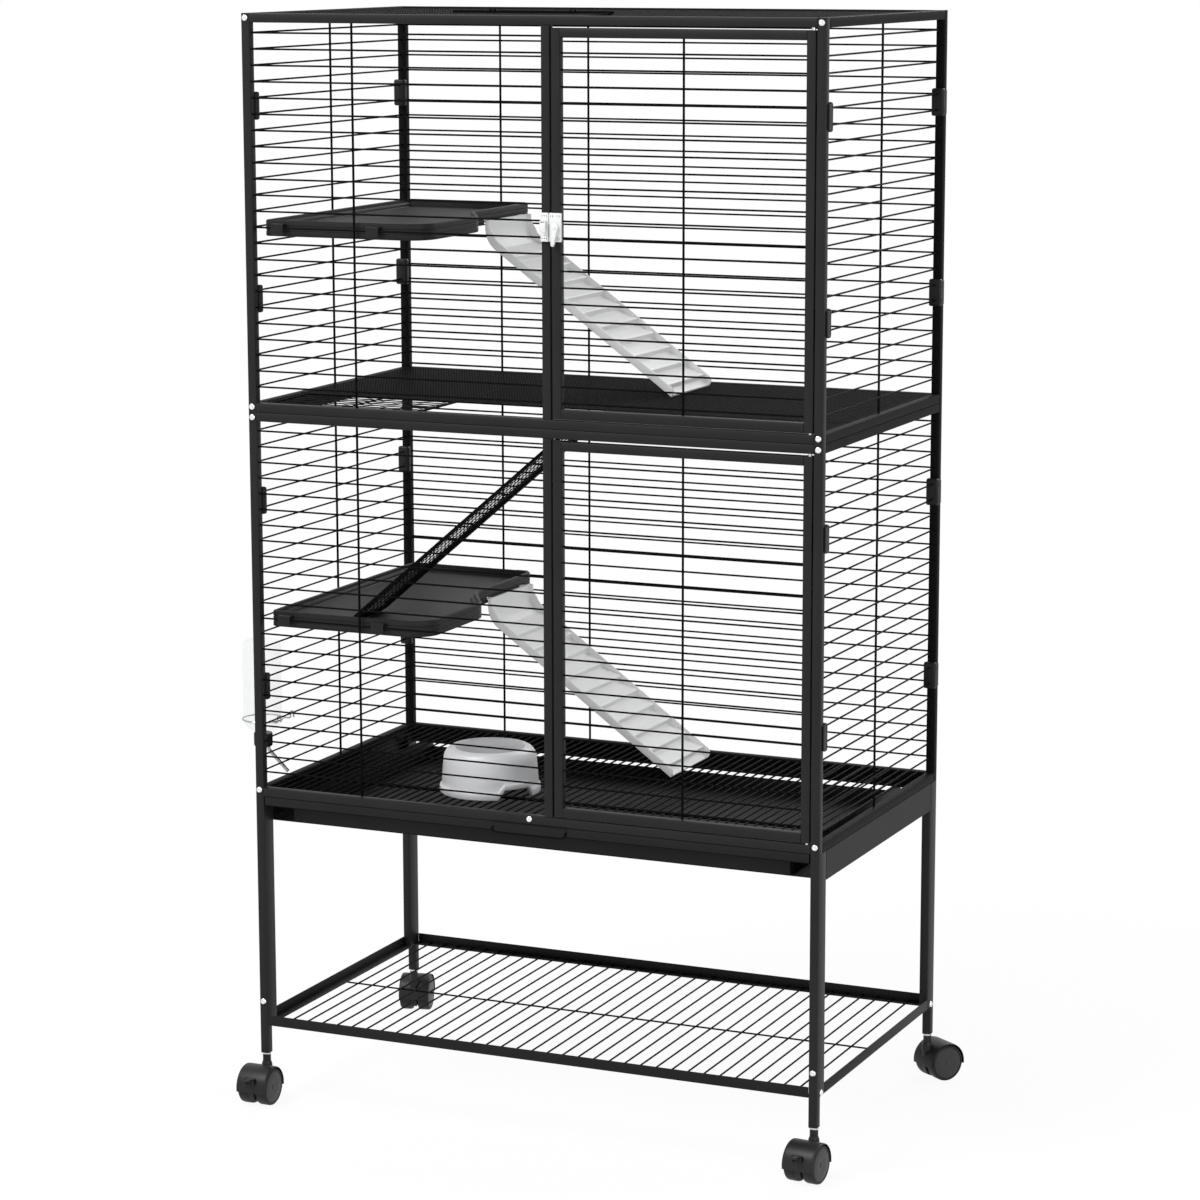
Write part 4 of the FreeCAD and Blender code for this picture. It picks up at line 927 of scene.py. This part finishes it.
def caster(place, x, y, degrees, brake):
    name = "caster_" + place
    turn = Matrix.Translation((x, y, 0.0)) @ Matrix.Rotation(math.radians(degrees), 4, "Z")
    trail, axle, reach = 20.0, 25.0, 21.6
    hood = Form(turn)
    section = [(-reach, 26.3), (-reach, 26.8), (-reach + 0.8, 27.5), (-reach + 2.8, 27.8),
               (reach - 2.8, 27.8), (reach - 0.8, 27.5), (reach, 26.8), (reach, 26.3)]
    rings = []
    steps = 30
    for step in range(steps + 1):
        angle = math.radians(-8 + 196 * step / steps)
        rings.append([(trail + r * math.cos(angle), side, axle + r * math.sin(angle)) for side, r in section])
    hood.loft(rings)
    web = []
    for step in range(25):
        angle = math.radians(-34 + 248 * step / 24)
        web.append((trail + 26.6 * math.cos(angle), axle + 26.6 * math.sin(angle)))
    hood.slab(web, lambda u, v, w: (u, w, v), -4.0, 4.0)
    hood.block((-6.5, -4.0, 25.0), (8.5, 4.0, 47.5), 1.5)
    hood.turned([(7.4, 42.0), (7.2, 49.0), (6.6, 51.5), (5.8, 53.2), (5.5, 55.0), (5.5, 63.2), (4.3, 63.4)],
                (0, 0, 0), "z", 28)
    for side in (-1, 1):
        hood.turned([(3.0, 4.0), (3.0, 21.0), (2.6, 21.5)], (trail, 0, axle), "y" if side > 0 else "-y", 20)
    if brake:
        for side in (-7.0, 5.0):
            hood.block((44.5, side, 34.0), (50.0, side + 2.0, 42.2), 0.6)
        hood.rod((47.4, -7.0, 39.5), (47.4, 7.0, 39.5), 1.5, 16)
    hood.done(name + "_shell", CASTER, name, "caster_black", name + "_hood")
    wheels = Form(turn)
    discs = Form(turn)
    for axis in ("y", "-y"):
        wheels.turned([(3.4, 4.6), (22.4, 4.6), (24.3, 5.3), (25.0, 7.4), (25.0, 18.4), (24.5, 20.2),
                       (23.2, 21.2), (21.9, 21.5), (21.5, 20.7), (3.4, 20.5)], (trail, 0, axle), axis, 48)
        discs.turned([(21.4, 19.9), (21.3, 20.7), (20.2, 21.25), (7.0, 21.45), (5.6, 21.2), (4.6, 21.2),
                      (4.2, 21.7), (2.6, 22.1), (0.8, 22.2)], (trail, 0, axle), axis, 48)
    wheels.done(name + "_treads", TREAD, name + "_wheels", "wheel_black", name + "_wheels")
    # The wheel faces take the painted light of the lighter disc finish.
    discs.done(name + "_discs", PAINTED_LIGHT_DISC, name + "_wheels", "wheel_black")
    if brake:
        lever = Form(turn)
        lever.rod((47.4, -4.5, 39.5), (47.4, 4.5, 39.5), 2.8, 20)
        lever.block((47.0, -4.4, 39.3), (57.4, 4.4, 41.5), 0.9)
        for x_rib in (51.0, 53.4, 55.8):
            lever.block((x_rib - 0.6, -3.6, 41.1), (x_rib + 0.6, 3.6, 42.0), 0.3, 1)
        lever.done(name + "_pedal", CASTER, name + "_brake", "caster_black", name + "_brake")


def casters():
    stem_x, stem_y = HALF_W - TUBE / 2, HALF_D - TUBE / 2
    form = Form()
    for place, x, y, degrees, brake in (
        ("front_left", -stem_x, -stem_y, -90, True), ("front_right", stem_x, -stem_y, -96, True),
        ("rear_left", -stem_x, stem_y, 105, False), ("rear_right", stem_x, stem_y, 55, False),
    ):
        caster(place, x, y, degrees, brake)
        form.turned([(4.0, 49.0), (4.0, 63.3), (5.9, 63.5), (6.0, 64.2), (6.0, 65.4), (5.6, 66.0)],
                    (x, y, 0), "z", 28)
    form.done("caster_stem_rings", STEEL, "frame", "pin_steel", "caster_stems")


BOWL_TALL = 60.0
BOWL_SKIRT = 67.0
BOWL_WALL = 62.0
BOWL_MOUTH = 45.0
NOTCH_RISE = 13.0
NOTCH_TURN = math.radians(-31.5)
NOTCH_HALF = math.radians(24.0)
NOTCH_SLANT = math.radians(8.0)


def bowl():
    low, high = span("bowl")
    centre = (low + high) / 2
    profile = [
        (40.0, 15.5, 0.0), (BOWL_SKIRT - 8, 15.5, 0.0), (BOWL_SKIRT - 5, 0.0, 1.0),
        (BOWL_SKIRT - 1.6, 0.0, 1.0), (BOWL_SKIRT - 0.3, 0.7, 1.0), (BOWL_SKIRT, 1.8, 0.97),
        (BOWL_SKIRT, 7.6, 0.85), (BOWL_SKIRT - 0.5, 9.2, 0.82),
        (BOWL_SKIRT - 2.0, 10.4, 0.79), (BOWL_SKIRT - 2.8, 12.0, 0.74), (BOWL_WALL + 1.9, 18.0, 0.42),
        (BOWL_WALL + 1.4, 26.0, 0.0),
    ]
    shoulder, crest = 18.0, 13.0
    for step in range(7):
        angle = math.pi / 2 * step / 6
        profile.append((BOWL_WALL - crest * (1 - math.cos(angle)),
                        BOWL_TALL - shoulder * (1 - math.sin(angle)), 0.0))
    profile += [
        (BOWL_MOUTH + 1.6, BOWL_TALL - 0.6, 0.0), (BOWL_MOUTH, BOWL_TALL - 2.6, 0.0),
        (BOWL_MOUTH - 1.0, BOWL_TALL - 10, 0.0), (BOWL_MOUTH - 2.4, 36.0, 0.0), (BOWL_MOUTH - 4.4, 26.0, 0.0),
        (BOWL_MOUTH - 8.0, 20.5, 0.0), (BOWL_MOUTH - 14.0, 18.5, 0.0),
    ]
    sides = 240
    spokes = []
    for side in range(sides):
        angle = math.tau * side / sides
        off = abs((angle - NOTCH_TURN + math.pi / 2) % math.pi - math.pi / 2)
        share = min(1.0, max(0.0, (NOTCH_HALF - off) / NOTCH_SLANT))
        spokes.append((math.cos(angle), math.sin(angle), NOTCH_RISE * share))
    form = Form()
    form.loft([[(centre.x + radius * across, centre.y + radius * along, low.z + height + share * rise)
                for across, along, rise in spokes] for radius, height, share in profile])
    form.done("feeding_bowl", BOWL, "bowl", "bowl_grey", "bowl")


CAP_RADIUS = 12.6


def bottle():
    low, high = span("bottle")
    x, y = (low.x + high.x) / 2, (low.y + high.y) / 2
    form = Form()
    form.turned([(11.6, -2), (12.0, 1), (16.0, 4.0), (22.0, 8.6), (25.2, 12.6), (26.3, 17.5), (26.3, 60.0),
                 (25.7, 61.5), (25.7, 64.5), (26.3, 66.0), (26.3, 118.0), (25.4, 123.0),
                 (22.6, 126.6), (18.0, 128.0)],
                (x, y, low.z), "z", 48)
    form.done("bottle_shell", CLEAR, "frame", "bottle_clear", "bottle")
    low, high = span("bottle_cap")
    cap = Form()
    rings = []
    ribs = 48
    for share, z in ((0.86, low.z), (0.97, low.z + 1.2), (1.0, low.z + 2.6),
                     (1.0, high.z - 1.2), (0.97, high.z)):
        ring = []
        for side in range(2 * ribs):
            angle = math.tau * side / (2 * ribs)
            radius = CAP_RADIUS * share - (0.5 if side % 2 and share == 1.0 else 0.0)
            ring.append((x + radius * math.cos(angle), y + radius * math.sin(angle), z))
        rings.append(ring)
    cap.loft(rings)
    cap.done("bottle_screw_cap", CLIP, "frame", "clip_black", "bottle_cap")
    tube_low, tube_high = span("bottle_tube")
    mouth = tube_low.x + 3
    tip = (tube_high.x - 2.2, y, tube_low.z + 2.2)
    tube = Form()
    drop = tube_high.z
    bend = drop - 2.4
    tube.sweep([(mouth, y, drop + 0.5), (mouth, y, bend), (mouth + 0.9, y, bend - 2.2),
                (mouth + 2.6, y, bend - 4.2), tip], 2.6, 14)
    tube.done("bottle_spout", CHROME, "frame", "tube_steel", "bottle_tube")
    ring_low, ring_high = span("bottle_ring")
    wire = 1.1
    hoop_z = ring_low.z + 1.2
    form = Form()
    hoop = []
    for step in range(48):
        angle = math.tau * step / 48
        hoop.append((x + (26.4 + wire) * math.cos(angle), y + (26.4 + wire) * math.sin(angle), hoop_z))
    form.sweep(hoop, wire, 8, True)
    outside = -HALF_W + TUBE / 2 - 2.4
    row = BASES["lower"] + FIRST_ROW + 3 * ROW_PITCH
    for side in (-17.9, 17.9):
        hook = [(x + 21.5, hoop_z), (outside - 1.5, hoop_z), (outside, hoop_z + 1.5), (outside, row + 1.2),
                (outside + 1.0, row + 2.4), (outside + 3.6, row + 2.4), (outside + 4.8, row + 1.2),
                (outside + 4.8, row - 5.6)]
        form.sweep([(across, y + side, z) for across, z in hook], wire, 8)
    form.done("bottle_holder", CHROME, "frame", "tube_steel", "bottle_ring")


for prefix, base in BASES.items():
    front_panel(prefix, base)
    rear_panel(prefix, base)
    side_panel(prefix, base, "left", -1)
    side_panel(prefix, base, "right", 1)
    door(prefix, base)
    panel_clips(prefix, base)
    platform(prefix, base)
    ramp(prefix, base)
mesh_plate("top_expanded_mesh", TOP_MESH, "top_mesh")
mesh_plate("middle_expanded_mesh", MIDDLE_FLOOR, "middle_floor_mesh", WIDE_MESH_LEFT)
mesh_ramp()
top_hatch()
floor_grid()
shelf()
bolt_heads()
latch()
tray()
stand()
casters()
bowl()
bottle()
for label, finish in (("upper_door_pins", STEEL), ("lower_door_pins", STEEL), ("mesh_ramp_eyes", MESH_COAT),
                      ("tray_runners", SHEET_COAT)):
    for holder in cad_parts[label].material_slots:
        holder.material = finish
